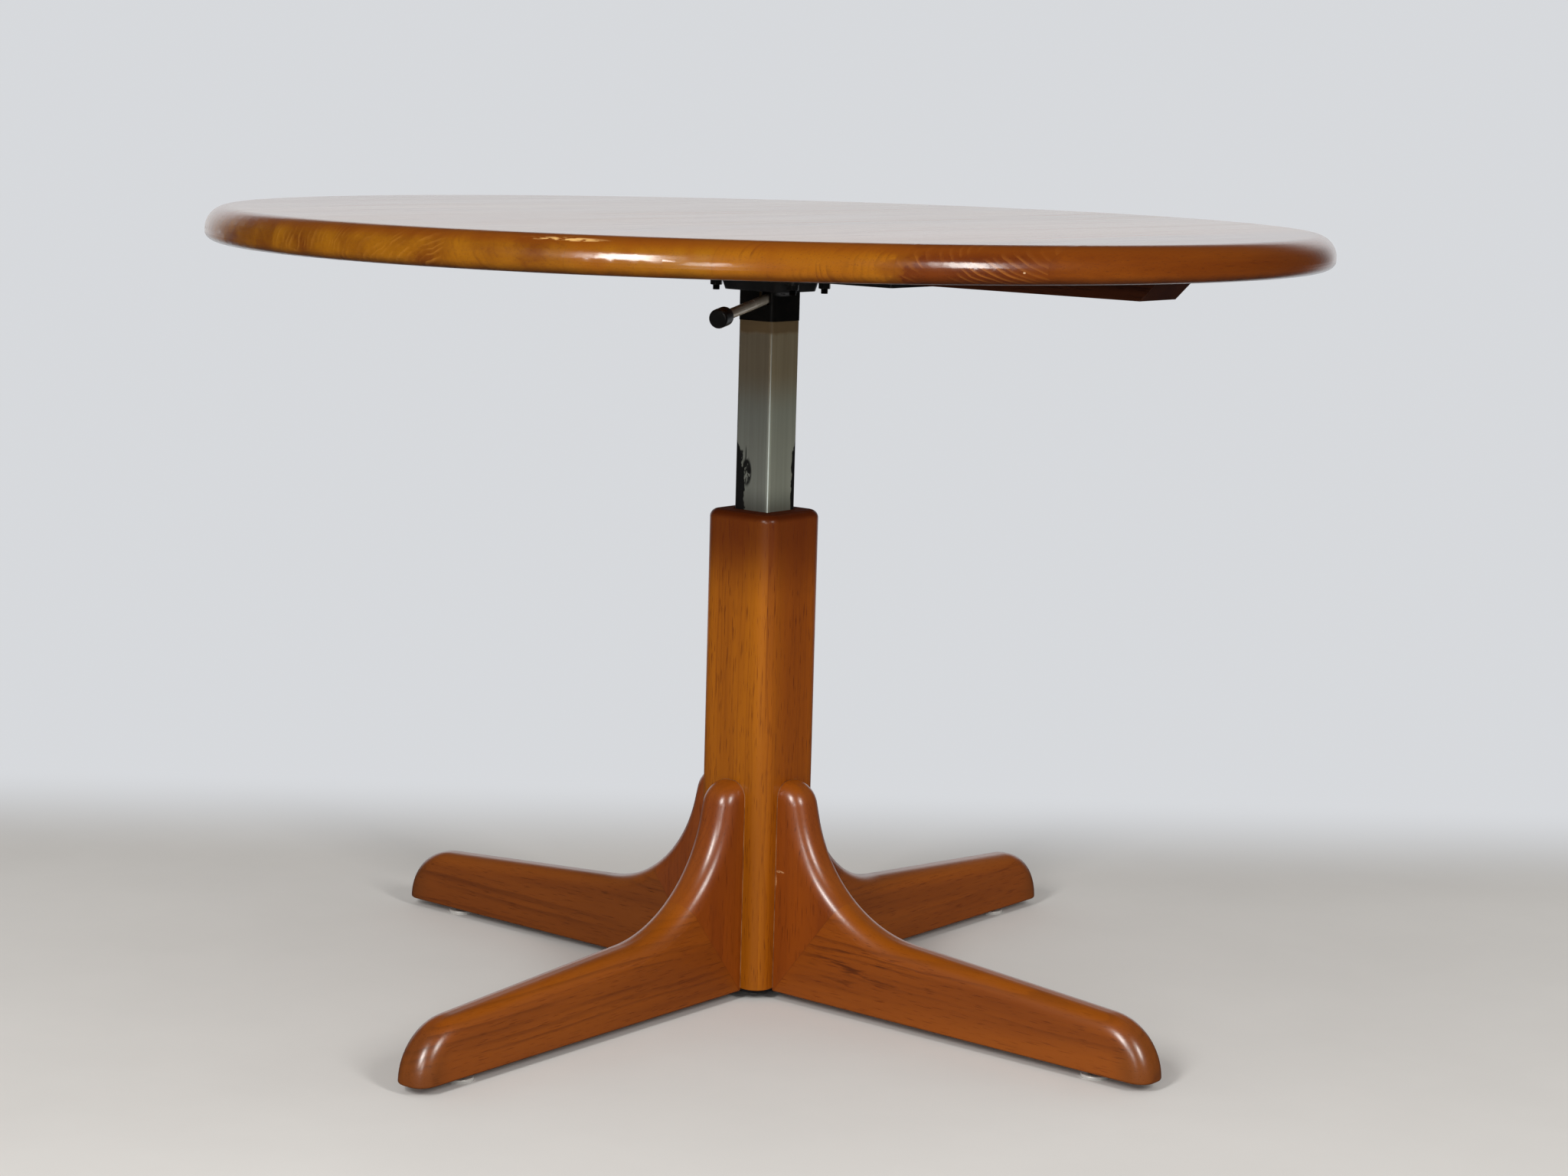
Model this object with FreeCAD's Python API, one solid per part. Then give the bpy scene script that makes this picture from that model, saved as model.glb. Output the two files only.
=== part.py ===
"""Round pedestal table whose square steel column slides up and down in a wooden sleeve.

Millimetres, +Z up, origin on the floor on the column's axis.  The table stands at its
full height.  The legs lie along X and Y, and the boards of the top run along Y.
"""
import FreeCAD
import Part
import math
import os

Vector = FreeCAD.Vector
UP = Vector(0, 0, 1)
TOUCH = 0.01                  # two levels closer than this are the same

# ---- driving dimensions ------------------------------------------------------------

# top
TABLE_HEIGHT = 714.0          # floor to the top's upper face, raised
LIFT_TRAVEL = 162.0           # how far the top goes down
TOP_DIAMETER = 1000.0
TOP_THICKNESS = 30.0
RIM_UPPER_REACH = 20.0        # how far in from the rim its upper rounding begins
RIM_UPPER_HEIGHT = 19.5
RIM_LOWER_REACH = 12.0        # and its lower rounding
RIM_LOWER_HEIGHT = 8.0
BOARD_JOINTS = (-0.417, -0.317, -0.217, -0.117, -0.017,   # between boards, in X,
                0.083, 0.183, 0.283, 0.383, 0.450)        # as shares of the diameter

# batten under the top, across its boards
BATTEN_INSET = 70.0           # each end of its upper face inside the top's rim
BATTEN_WIDTH = 54.0
BATTEN_HEIGHT = 20.0
BATTEN_CHAMFER = 20.0         # how far each end slants in

# steel bar and pressed steel plate between the batten and the column
BAR_LENGTH = 320.0
BAR_WIDTH = 60.0
BAR_THICKNESS = 4.0
BAR_CORNER = 3.0
PLATE_MARGIN_X = 9.5          # flange beyond its studs
PLATE_MARGIN_Y = 9.0
PLATE_CORNER = 7.0
PLATE_SHEET = 2.5
DISH_DEPTH = 9.0              # from the flange's lower face to the dish's lower face
DISH_INSET_X = 6.0            # dish inside the line of the studs
DISH_INSET_Y = 2.0            # dish inside the flange's long edges
DISH_CORNER = 12.0
DISH_TAPER = 2.5              # how far each wall leans in over its depth
STUD_SPACING_X = 89.0
STUD_SPACING_Y = 45.0
STUD_DIAMETER = 6.0
STUD_PROTRUSION = 4.3         # of the stud below its nut
NUT_ACROSS_FLATS = 10.0
NUT_HEIGHT = 5.0
WASHER_DIAMETER = 12.2
WASHER_THICKNESS = 1.2
STUD_HOLE_CLEARANCE = 0.3
NUT_FACE = 0.95               # round lower face of a nut, as a share of its flats

# wood screws
SCREW_DIAMETER = 4.0
SCREW_HEAD_DIAMETER = 8.0
SCREW_HEAD_HEIGHT = 2.4
BATTEN_SCREW_LENGTH = 38.0
BAR_SCREW_LENGTH = 36.0
BAR_SCREW_INSET = 14.0        # outer bar screws from the bar's ends
BAR_SCREW_PITCH = 42.0        # between the two pairs of bar screws
BAR_SCREW_SPREAD = 28.0       # across the bar

# steel column
TUBE_SIDE = 40.0
TUBE_WALL = 3.0
TUBE_CORNER = 4.0
TUBE_OVERLAP = 200.0          # length of tube left inside the sleeve when raised
COLLAR_WALL = 0.5
COLLAR_HEIGHT = 27.0
LEAST_CORNER = 0.5            # smallest rounding of a formed sheet's inner corner

# wooden sleeve of four mitred boards
SLEEVE_SIDE = 79.0
SLEEVE_BOARD = 19.0
SLEEVE_CORNER = 15.5
LOWERED_GAP = 9.5             # collar above the sleeve when the top is down
SLEEVE_BOTTOM = 10.5
SLEEVE_TOP_ROUND = 7.5
SLEEVE_FOOT_ROUND = 1.5

# slide bearings between tube and sleeve
BUSH_WALL = 2.45
BUSH_HEIGHT = 40.0
BUSH_DEPTH = 8.0              # bush below the sleeve's upper end
SHOE_HEIGHT = 12.0
SHOE_SPIGOT = 15.0
SHOE_CORNER = 2.0
SHOE_BORE_GAP = 1.0           # each side, so that the gas spring goes in through the shoe
SLIDE_CLEARANCE = 0.05        # each side, tube in bush
SHOE_CLEARANCE = 0.10         # each side, shoe in sleeve
PRESS_GAP = 0.05              # each side, bush in its pocket

# gas spring
CYLINDER_DIAMETER = 28.0
CYLINDER_WALL = 1.5
GAS_RESERVE = 51.6            # room above the piston when the top is down
CYLINDER_TOP_GAP = 18.5       # cylinder below the dish
CYLINDER_HEAD = 24.0
SOCKET_HEIGHT = 26.0
SOCKET_DROP = 4.0             # socket below the cylinder's end
ROD_DIAMETER = 10.0
ROD_GUIDE_HEIGHT = 12.0
ROD_THREAD_DIAMETER = 8.0
ROD_THREAD_LENGTH = 9.5
ROD_NUT_FLATS = 13.0
ROD_NUT_HEIGHT = 5.0
PISTON_HEIGHT = 12.0
PISTON_GAP = 0.4              # piston to cylinder wall, and to the guide at the stop
RUNNING_CLEARANCE = 0.05      # radial, for pins and rods

# release lever
LEVER_DIAMETER = 9.0
LEVER_REACH = 110.0           # from the column's face to the rod's outer end, level
LEVER_TURN = 19.0             # degrees from -Y towards +X
LEVER_DROP = 5.5              # degrees below level
LEVER_EXIT_X = 11.0           # where the rod leaves the column's front face
LEVER_EXIT_DROP = 7.4         # rod below the dish, where it leaves the column
LEVER_INNER = 24.5            # rod's length inside the column
LEVER_LIFT = 7.0              # degrees that the lever is pulled up
LEVER_FLAT_GAP = 0.6          # rod's flattened inner end below the dish
PIVOT_INSET = 8.0             # pivot pin inside the column's face
PIVOT_DIAMETER = 4.0
CHEEK_THICKNESS = 2.0
CHEEK_LENGTH = 11.0
CHEEK_HEIGHT = 12.0
CHEEK_GAP = 0.4               # between the rod and each cheek
LEVER_SLOT_GAP = 0.6
CAP_DIAMETER = 17.0
CAP_LENGTH = 18.0
CAP_BORE_DEPTH = 13.0
CAP_ROUND = 2.0
PIN_DIAMETER = 6.0
PIN_LENGTH = 26.0
PIN_GAP = 0.3                 # pin below the lever
PIN_BORE_EXTRA = 4.0          # bore below the pin

# legs
LEG_WIDTH = 37.0
LEG_BOTTOM = 8.0              # floor to the leg's lower face
LEG_TOP = 204.2               # floor to the leg's upper end
LEG_LEDGE = 0.5               # level part of the leg's upper end
LEG_CURL = 25.0               # radius that turns the upper end down
LEG_STEEP = 76.6              # degrees, slope of the upper part
LEG_SWEEP = 126.0             # radius of the hollow between upper part and foot
FOOT_SLOPE = 4.25             # degrees, slope of the foot's upper face
TOE_RADIUS = 52.2
TOE_CENTRE_R = 392.0          # toe radius' centre from the column's axis
TOE_CENTRE_Z = 7.8
LEG_ROUND = 15.5              # rounding of the leg's upper edges
LEG_FOOT_ROUND = 2.0          # rounding of its lower edges
MITRE_ANGLE = 52.0            # degrees above level, joint of upright and foot
SPLINE_LENGTH = 50.0
SPLINE_WIDTH = 30.0
SPLINE_THICKNESS = 6.0
DOWEL_DIAMETER = 10.0
DOWEL_LENGTH = 32.0
DOWEL_DEPTH = 11.0            # dowel's depth in the sleeve board
DOWEL_HEIGHTS = (84.0, 150.0)

# base plate that holds the gas spring's rod
BASE_PLATE_SIDE = 72.0
BASE_PLATE_THICKNESS = 3.5
BASE_SCREW_LENGTH = 26.0

# glides
GLIDE_INSET = 62.2            # glides in from the toes
GLIDE_DIAMETER = 24.5
GLIDE_HEIGHT = 3.2
GLIDE_ROUND = 1.2
GLIDE_NECK = 11.0
STEM_DIAMETER = 8.0
STEM_DEPTH = 18.0             # stem's length above the leg's lower face
NECK_GAP = 0.3                # neck below the leg
INSERT_DIAMETER = 12.0
INSERT_DEPTH = 15.0
STEM_POCKET = 3.0             # free hole above the stem
STEM_POCKET_GAP = 0.5         # and each side of it

# ---- levels that follow from them --------------------------------------------------

TOP_RADIUS = TOP_DIAMETER / 2
BATTEN_LENGTH = TOP_DIAMETER - 2 * BATTEN_INSET
TOP_UNDERSIDE = TABLE_HEIGHT - TOP_THICKNESS
BATTEN_UNDERSIDE = TOP_UNDERSIDE - BATTEN_HEIGHT
BAR_UNDERSIDE = BATTEN_UNDERSIDE - BAR_THICKNESS
FLANGE_UNDERSIDE = BAR_UNDERSIDE - PLATE_SHEET
DISH_UNDERSIDE = FLANGE_UNDERSIDE - DISH_DEPTH
WASHER_UNDERSIDE = FLANGE_UNDERSIDE - WASHER_THICKNESS
NUT_UNDERSIDE = WASHER_UNDERSIDE - NUT_HEIGHT
STUD_END = NUT_UNDERSIDE - STUD_PROTRUSION
PLATE_LENGTH = STUD_SPACING_X + 2 * PLATE_MARGIN_X
PLATE_WIDTH = STUD_SPACING_Y + 2 * PLATE_MARGIN_Y
DISH_LENGTH = STUD_SPACING_X - 2 * DISH_INSET_X
DISH_WIDTH = PLATE_WIDTH - 2 * DISH_INSET_Y
COLLAR_BOTTOM = DISH_UNDERSIDE - COLLAR_HEIGHT
SLEEVE_TOP = COLLAR_BOTTOM - LIFT_TRAVEL - LOWERED_GAP
TUBE_BOTTOM = SLEEVE_TOP - TUBE_OVERLAP
TUBE_BORE = TUBE_SIDE - 2 * TUBE_WALL
TUBE_BORE_CORNER = max(TUBE_CORNER - TUBE_WALL, LEAST_CORNER)
SLEEVE_BORE = SLEEVE_SIDE - 2 * SLEEVE_BOARD
SLEEVE_FACE = SLEEVE_SIDE / 2
BUSH_BORE = TUBE_SIDE + 2 * SLIDE_CLEARANCE
BUSH_SIDE = BUSH_BORE + 2 * BUSH_WALL
BUSH_TOP = SLEEVE_TOP - BUSH_DEPTH
BASE_PLATE_BOTTOM = SLEEVE_BOTTOM - BASE_PLATE_THICKNESS
CYLINDER_TOP = DISH_UNDERSIDE - CYLINDER_TOP_GAP
CYLINDER_LENGTH = (LIFT_TRAVEL + CYLINDER_HEAD + GAS_RESERVE + ROD_GUIDE_HEIGHT
                   + PISTON_GAP + PISTON_HEIGHT)
CYLINDER_BOTTOM = CYLINDER_TOP - CYLINDER_LENGTH
CYLINDER_BORE_RADIUS = CYLINDER_DIAMETER / 2 - CYLINDER_WALL
PISTON_BOTTOM = CYLINDER_BOTTOM + ROD_GUIDE_HEIGHT + PISTON_GAP
ROD_TOP = PISTON_BOTTOM + PISTON_HEIGHT
GLIDE_RADIUS = TOE_CENTRE_R + TOE_RADIUS - GLIDE_INSET


# ---- small helpers -----------------------------------------------------------------

def square_prism(length, width, corner, bottom, height):
    """Upright prism on a rounded rectangle centred on the axis."""
    half_x, half_y = length / 2, width / 2
    body = Part.makeBox(length, width, height, Vector(-half_x, -half_y, bottom))
    if corner <= 0:
        return body
    upright = [e for e in body.Edges if e.BoundBox.ZMax - e.BoundBox.ZMin > height - TOUCH]
    return body.makeFillet(corner, upright)


def rounded_rectangle(length, width, corner, level):
    """Closed wire of a rounded rectangle at one level."""
    half_x, half_y = length / 2 - corner, width / 2 - corner
    edges = []
    for quarter in range(4):
        start = math.pi / 2 * quarter
        side_x = 1 if quarter in (0, 3) else -1
        side_y = 1 if quarter in (0, 1) else -1
        centre = Vector(side_x * half_x, side_y * half_y, level)
        circle = Part.Circle(centre, UP, corner)
        edges.append(Part.Arc(circle, start, start + math.pi / 2).toShape())
    wire_edges = []
    for index, arc in enumerate(edges):
        after = edges[(index + 1) % 4]
        wire_edges.append(arc)
        wire_edges.append(Part.makeLine(arc.Vertexes[1].Point, after.Vertexes[0].Point))
    return Part.Wire(wire_edges)


def cylinder(diameter, height, base, axis=UP):
    return Part.makeCylinder(diameter / 2, height, base, axis)


def hexagon(across_flats, height, centre, hole=0.0):
    """Hexagonal nut on its centre point, with its corners trimmed at the lower face."""
    radius = across_flats / math.sqrt(3)
    points = []
    for corner in range(7):
        angle = math.pi / 3 * corner
        points.append(centre + Vector(radius * math.cos(angle), radius * math.sin(angle), 0))
    body = Part.Face(Part.makePolygon(points)).extrude(UP * height)
    face_radius = NUT_FACE * across_flats / 2
    crown = Part.makeCone(face_radius, face_radius + height * math.sqrt(3), height, centre, UP)
    body = body.common(crown)
    if hole > 0:
        body = body.cut(cylinder(hole, height, centre))
    return body


def wood_screw(head_face, direction, length):
    """Countersunk screw; head_face is the middle of its head's outer face."""
    head = Part.makeCone(SCREW_HEAD_DIAMETER / 2, SCREW_DIAMETER / 2, SCREW_HEAD_HEIGHT,
                         head_face, direction)
    shank_start = head_face + direction * SCREW_HEAD_HEIGHT
    shank = cylinder(SCREW_DIAMETER, length - SCREW_HEAD_HEIGHT - SCREW_DIAMETER,
                     shank_start, direction)
    tip_start = head_face + direction * (length - SCREW_DIAMETER)
    tip = Part.makeCone(SCREW_DIAMETER / 2, 0, SCREW_DIAMETER, tip_start, direction)
    return head.fuse([shank, tip]).removeSplitter()


def turned(shape, quarter):
    """Copy of a shape, turned about the column's axis by quarter turns."""
    copy = shape.copy()
    copy.rotate(Vector(0, 0, 0), UP, 90 * quarter)
    return copy


def polar(radius, degrees, level=0.0):
    angle = math.radians(degrees)
    return Vector(radius * math.cos(angle), radius * math.sin(angle), level)


# ---- top -----------------------------------------------------------------------------

def quarter_ellipse(centre, reach, height):
    """Arc from the rim, level with the centre, to the point above or below the centre."""
    side = centre + Vector(reach, 0, 0)
    end = centre + Vector(0, 0, height)
    major, minor = (side, end) if reach > abs(height) else (end, side)
    return Part.Arc(Part.Ellipse(major, minor, centre), 0, math.pi / 2).toShape()


def tabletop_disc():
    """Round disc, with a large rounding on its upper edge and a small one on its lower."""
    upper_centre = Vector(TOP_RADIUS - RIM_UPPER_REACH, 0, TABLE_HEIGHT - RIM_UPPER_HEIGHT)
    lower_centre = Vector(TOP_RADIUS - RIM_LOWER_REACH, 0, TOP_UNDERSIDE + RIM_LOWER_HEIGHT)
    upper = upper_centre + UP * RIM_UPPER_HEIGHT
    lower = lower_centre - UP * RIM_LOWER_HEIGHT
    axis_top = Vector(0, 0, TABLE_HEIGHT)
    axis_low = Vector(0, 0, TOP_UNDERSIDE)
    outline = Part.Wire(Part.sortEdges([
        Part.makeLine(axis_top, upper),
        quarter_ellipse(upper_centre, RIM_UPPER_REACH, RIM_UPPER_HEIGHT),
        Part.makeLine(Vector(TOP_RADIUS, 0, upper_centre.z), Vector(TOP_RADIUS, 0, lower_centre.z)),
        quarter_ellipse(lower_centre, RIM_LOWER_REACH, -RIM_LOWER_HEIGHT),
        Part.makeLine(lower, axis_low),
        Part.makeLine(axis_low, axis_top),
    ])[0])
    return Part.Face(outline).revolve(Vector(0, 0, 0), UP, 360)


def board_spans():
    """X of each board's two edges, from left to right."""
    joints = [TOP_DIAMETER * share for share in BOARD_JOINTS]
    edges = [-TOP_RADIUS] + joints + [TOP_RADIUS]
    return list(zip(edges[:-1], edges[1:]))


def top_boards(fasteners):
    """Boards of the top, with the pilot holes of the screws that reach them."""
    disc = tabletop_disc().cut(fasteners)
    boards = []
    for left, right in board_spans():
        slab = Part.makeBox(right - left, TOP_DIAMETER, TOP_THICKNESS,
                            Vector(left, -TOP_RADIUS, TOP_UNDERSIDE))
        boards.append(disc.common(slab))
    return boards


def batten_screws():
    """One screw in the middle of each board that the batten crosses beyond the bar."""
    reach = BATTEN_LENGTH / 2 - BATTEN_CHAMFER - SCREW_HEAD_DIAMETER
    blocked = BAR_LENGTH / 2 + SCREW_HEAD_DIAMETER
    screws = []
    for left, right in board_spans():
        middle = (left + right) / 2
        if blocked < abs(middle) < reach:
            face = Vector(middle, 0, BATTEN_UNDERSIDE)
            screws.append(wood_screw(face, UP, BATTEN_SCREW_LENGTH))
    return screws


def bar_screws():
    screws = []
    outer = BAR_LENGTH / 2 - BAR_SCREW_INSET
    for side in (-1, 1):
        for x in (outer, outer - BAR_SCREW_PITCH):
            for across in (-1, 1):
                face = Vector(side * x, across * BAR_SCREW_SPREAD / 2, BAR_UNDERSIDE)
                screws.append(wood_screw(face, UP, BAR_SCREW_LENGTH))
    return screws


def batten(fasteners):
    half, low = BATTEN_LENGTH / 2, BATTEN_LENGTH / 2 - BATTEN_CHAMFER
    start_y = -BATTEN_WIDTH / 2
    outline = [
        Vector(-half, start_y, TOP_UNDERSIDE),
        Vector(half, start_y, TOP_UNDERSIDE),
        Vector(low, start_y, BATTEN_UNDERSIDE),
        Vector(-low, start_y, BATTEN_UNDERSIDE),
        Vector(-half, start_y, TOP_UNDERSIDE),
    ]
    body = Part.Face(Part.makePolygon(outline)).extrude(Vector(0, BATTEN_WIDTH, 0))
    return body.cut(fasteners)


def stud_places():
    places = []
    for side_x in (-1, 1):
        for side_y in (-1, 1):
            places.append((side_x * STUD_SPACING_X / 2, side_y * STUD_SPACING_Y / 2))
    return places


def studs():
    height = BATTEN_UNDERSIDE - STUD_END
    return [cylinder(STUD_DIAMETER, height, Vector(x, y, STUD_END)) for x, y in stud_places()]


def stud_washers():
    rings = []
    for x, y in stud_places():
        base = Vector(x, y, WASHER_UNDERSIDE)
        ring = cylinder(WASHER_DIAMETER, WASHER_THICKNESS, base)
        hole = cylinder(STUD_DIAMETER + STUD_HOLE_CLEARANCE, WASHER_THICKNESS, base)
        rings.append(ring.cut(hole))
    return rings


def stud_nuts():
    return [hexagon(NUT_ACROSS_FLATS, NUT_HEIGHT, Vector(x, y, NUT_UNDERSIDE), STUD_DIAMETER)
            for x, y in stud_places()]


def steel_bar(fasteners):
    body = square_prism(BAR_LENGTH, BAR_WIDTH, BAR_CORNER, BAR_UNDERSIDE, BAR_THICKNESS)
    return body.cut(fasteners)


def mount_plate():
    """Flange with a shallow pressed dish, whose floor carries the column."""
    flange = square_prism(PLATE_LENGTH, PLATE_WIDTH, PLATE_CORNER, FLANGE_UNDERSIDE, PLATE_SHEET)
    floor_length = DISH_LENGTH - 2 * DISH_TAPER
    floor_width = DISH_WIDTH - 2 * DISH_TAPER
    floor_corner = max(DISH_CORNER - DISH_TAPER / 2, LEAST_CORNER)
    inner_corner = max(DISH_CORNER - PLATE_SHEET, LEAST_CORNER)
    inner_floor_corner = max(floor_corner - PLATE_SHEET, LEAST_CORNER)
    outer = Part.makeLoft([
        rounded_rectangle(DISH_LENGTH, DISH_WIDTH, DISH_CORNER, FLANGE_UNDERSIDE),
        rounded_rectangle(floor_length, floor_width, floor_corner, DISH_UNDERSIDE),
    ], True)
    inner = Part.makeLoft([
        rounded_rectangle(DISH_LENGTH - 2 * PLATE_SHEET, DISH_WIDTH - 2 * PLATE_SHEET,
                          inner_corner, BAR_UNDERSIDE),
        rounded_rectangle(floor_length - 2 * PLATE_SHEET, floor_width - 2 * PLATE_SHEET,
                          inner_floor_corner, DISH_UNDERSIDE + PLATE_SHEET),
    ], True)
    plate = flange.fuse(outer).cut(inner)
    for x, y in stud_places():
        hole = cylinder(STUD_DIAMETER + STUD_HOLE_CLEARANCE, PLATE_SHEET,
                        Vector(x, y, FLANGE_UNDERSIDE))
        plate = plate.cut(hole)
    return plate.removeSplitter()


# ---- column --------------------------------------------------------------------------

def lever_along():
    """Unit vector along the lever, outwards and a little down."""
    level = polar(1, LEVER_TURN - 90)
    drop = math.radians(LEVER_DROP)
    return level * math.cos(drop) - UP * math.sin(drop)


def lever_across():
    return UP.cross(polar(1, LEVER_TURN - 90))


def lever_exit():
    """Where the lever's axis crosses the column's front face."""
    return Vector(LEVER_EXIT_X, -TUBE_SIDE / 2, DISH_UNDERSIDE - LEVER_EXIT_DROP)


def pivot_point():
    return lever_exit() - lever_along() * PIVOT_INSET


def lever_slot():
    """Opening in the column's front wall, wide enough for the lever's swing."""
    half = LEVER_DIAMETER / 2 / math.cos(math.radians(LEVER_TURN)) + LEVER_SLOT_GAP
    depth = TUBE_WALL + 2 * COLLAR_WALL
    shift = depth * math.tan(math.radians(LEVER_TURN))
    swing = PIVOT_INSET * math.sin(math.radians(LEVER_LIFT + LEVER_DROP))
    bottom = DISH_UNDERSIDE - LEVER_EXIT_DROP - LEVER_DIAMETER / 2 - LEVER_SLOT_GAP
    return Part.makeBox(2 * half + shift, depth + COLLAR_WALL, DISH_UNDERSIDE - bottom + swing,
                        Vector(LEVER_EXIT_X - half - shift, -TUBE_SIDE / 2 - 2 * COLLAR_WALL, bottom))


def column_tube():
    height = DISH_UNDERSIDE - TUBE_BOTTOM
    tube = square_prism(TUBE_SIDE, TUBE_SIDE, TUBE_CORNER, TUBE_BOTTOM, height)
    bore = square_prism(TUBE_BORE, TUBE_BORE, TUBE_BORE_CORNER, TUBE_BOTTOM, height)
    return tube.cut([bore, lever_slot()])


def column_collar():
    side = TUBE_SIDE + 2 * COLLAR_WALL
    outer = square_prism(side, side, TUBE_CORNER + COLLAR_WALL, COLLAR_BOTTOM, COLLAR_HEIGHT)
    inner = square_prism(TUBE_SIDE, TUBE_SIDE, TUBE_CORNER, COLLAR_BOTTOM, COLLAR_HEIGHT)
    return outer.cut([inner, lever_slot()])


def slide_shoe():
    """Plastic foot of the tube, which slides in the sleeve."""
    side = SLEEVE_BORE - 2 * SHOE_CLEARANCE
    block = square_prism(side, side, SHOE_CORNER, TUBE_BOTTOM - SHOE_HEIGHT, SHOE_HEIGHT)
    spigot = square_prism(TUBE_BORE, TUBE_BORE, TUBE_BORE_CORNER, TUBE_BOTTOM, SHOE_SPIGOT)
    bore = cylinder(CYLINDER_DIAMETER + 2 * SHOE_BORE_GAP, SHOE_HEIGHT + SHOE_SPIGOT,
                    Vector(0, 0, TUBE_BOTTOM - SHOE_HEIGHT))
    return block.fuse(spigot).cut(bore)


def guide_bush():
    outer = square_prism(BUSH_SIDE, BUSH_SIDE, 0, BUSH_TOP - BUSH_HEIGHT, BUSH_HEIGHT)
    inner = square_prism(BUSH_BORE, BUSH_BORE, TUBE_CORNER, BUSH_TOP - BUSH_HEIGHT, BUSH_HEIGHT)
    return outer.cut(inner)


# ---- gas spring ------------------------------------------------------------------------

def pin_top():
    """The lever's lower side over the column's axis, less the free play."""
    leave = lever_exit()
    inward = polar(1, LEVER_TURN - 90)
    rise = (leave.x * inward.x + leave.y * inward.y) * math.tan(math.radians(LEVER_DROP))
    return leave.z + rise - LEVER_DIAMETER / 2 - PIN_GAP


def gas_cylinder():
    body = cylinder(CYLINDER_DIAMETER, CYLINDER_LENGTH, Vector(0, 0, CYLINDER_BOTTOM))
    bore = cylinder(2 * CYLINDER_BORE_RADIUS, CYLINDER_LENGTH - CYLINDER_HEAD,
                    Vector(0, 0, CYLINDER_BOTTOM))
    pin_bottom = pin_top() - PIN_LENGTH - PIN_BORE_EXTRA
    pin_bore = cylinder(PIN_DIAMETER + 2 * RUNNING_CLEARANCE, CYLINDER_TOP - pin_bottom,
                        Vector(0, 0, pin_bottom))
    return body.cut([bore, pin_bore])


def cylinder_socket():
    bottom = CYLINDER_TOP - SOCKET_DROP - SOCKET_HEIGHT
    block = square_prism(TUBE_BORE, TUBE_BORE, TUBE_BORE_CORNER, bottom, SOCKET_HEIGHT)
    return block.cut(cylinder(CYLINDER_DIAMETER, SOCKET_HEIGHT, Vector(0, 0, bottom)))


def rod_guide():
    base = Vector(0, 0, CYLINDER_BOTTOM)
    ring = cylinder(2 * CYLINDER_BORE_RADIUS, ROD_GUIDE_HEIGHT, base)
    return ring.cut(cylinder(ROD_DIAMETER + 2 * RUNNING_CLEARANCE, ROD_GUIDE_HEIGHT, base))


def gas_rod():
    rod = cylinder(ROD_DIAMETER, ROD_TOP - SLEEVE_BOTTOM, Vector(0, 0, SLEEVE_BOTTOM))
    thread = cylinder(ROD_THREAD_DIAMETER, ROD_THREAD_LENGTH,
                      Vector(0, 0, SLEEVE_BOTTOM - ROD_THREAD_LENGTH))
    return rod.fuse(thread)


def gas_piston():
    base = Vector(0, 0, PISTON_BOTTOM)
    ring = cylinder(2 * (CYLINDER_BORE_RADIUS - PISTON_GAP), PISTON_HEIGHT, base)
    return ring.cut(cylinder(ROD_DIAMETER, PISTON_HEIGHT, base))


def rod_nut():
    base = Vector(0, 0, BASE_PLATE_BOTTOM - ROD_NUT_HEIGHT)
    return hexagon(ROD_NUT_FLATS, ROD_NUT_HEIGHT, base, ROD_THREAD_DIAMETER)


def release_pin():
    return cylinder(PIN_DIAMETER, PIN_LENGTH, Vector(0, 0, pin_top() - PIN_LENGTH))


# ---- lever -----------------------------------------------------------------------------

def lever_rod():
    """Round rod, flattened on top where it lies under the dish, bored for its pivot."""
    along = lever_along()
    reach = LEVER_REACH / math.cos(math.radians(LEVER_DROP))
    start = lever_exit() - along * LEVER_INNER
    rod = cylinder(LEVER_DIAMETER, LEVER_INNER + reach, start, along)
    flat_level = DISH_UNDERSIDE - LEVER_FLAT_GAP
    above = Part.makeBox(TUBE_SIDE, TUBE_SIDE, TUBE_SIDE,
                         Vector(-TUBE_SIDE / 2, -TUBE_SIDE / 2, flat_level))
    across = lever_across()
    bore = cylinder(PIVOT_DIAMETER + 2 * RUNNING_CLEARANCE, 2 * LEVER_DIAMETER,
                    pivot_point() - across * LEVER_DIAMETER, across)
    return rod.cut([above, bore])


def lever_cap():
    """Plastic cap pushed on the rod's outer end."""
    along = lever_along()
    rod_end = lever_exit() + along * (LEVER_REACH / math.cos(math.radians(LEVER_DROP)))
    start = rod_end - along * CAP_BORE_DEPTH
    body = cylinder(CAP_DIAMETER, CAP_LENGTH, start, along)
    rims = [e for e in body.Edges if abs(e.Length - math.pi * CAP_DIAMETER) < TOUCH]
    body = body.makeFillet(CAP_ROUND, rims)
    return body.cut(cylinder(LEVER_DIAMETER, CAP_BORE_DEPTH, start, along))


def lever_bracket():
    """Two cheeks under the dish that hold the pivot pin."""
    along = polar(1, LEVER_TURN - 90)
    across = lever_across()
    inner = LEVER_DIAMETER / 2 + CHEEK_GAP
    pivot = pivot_point()
    top = DISH_UNDERSIDE
    cheeks = []
    for side in (-1, 1):
        near = across * (side * inner)
        far = across * (side * (inner + CHEEK_THICKNESS))
        half = along * (CHEEK_LENGTH / 2)
        middle = Vector(pivot.x, pivot.y, top - CHEEK_HEIGHT)
        corners = [middle + near - half, middle + near + half,
                   middle + far + half, middle + far - half, middle + near - half]
        cheeks.append(Part.Face(Part.makePolygon(corners)).extrude(UP * CHEEK_HEIGHT))
    pin = pivot_pin()
    room = square_prism(TUBE_BORE, TUBE_BORE, TUBE_BORE_CORNER, top - CHEEK_HEIGHT, CHEEK_HEIGHT)
    return [cheek.common(room).cut(pin) for cheek in cheeks]


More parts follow.
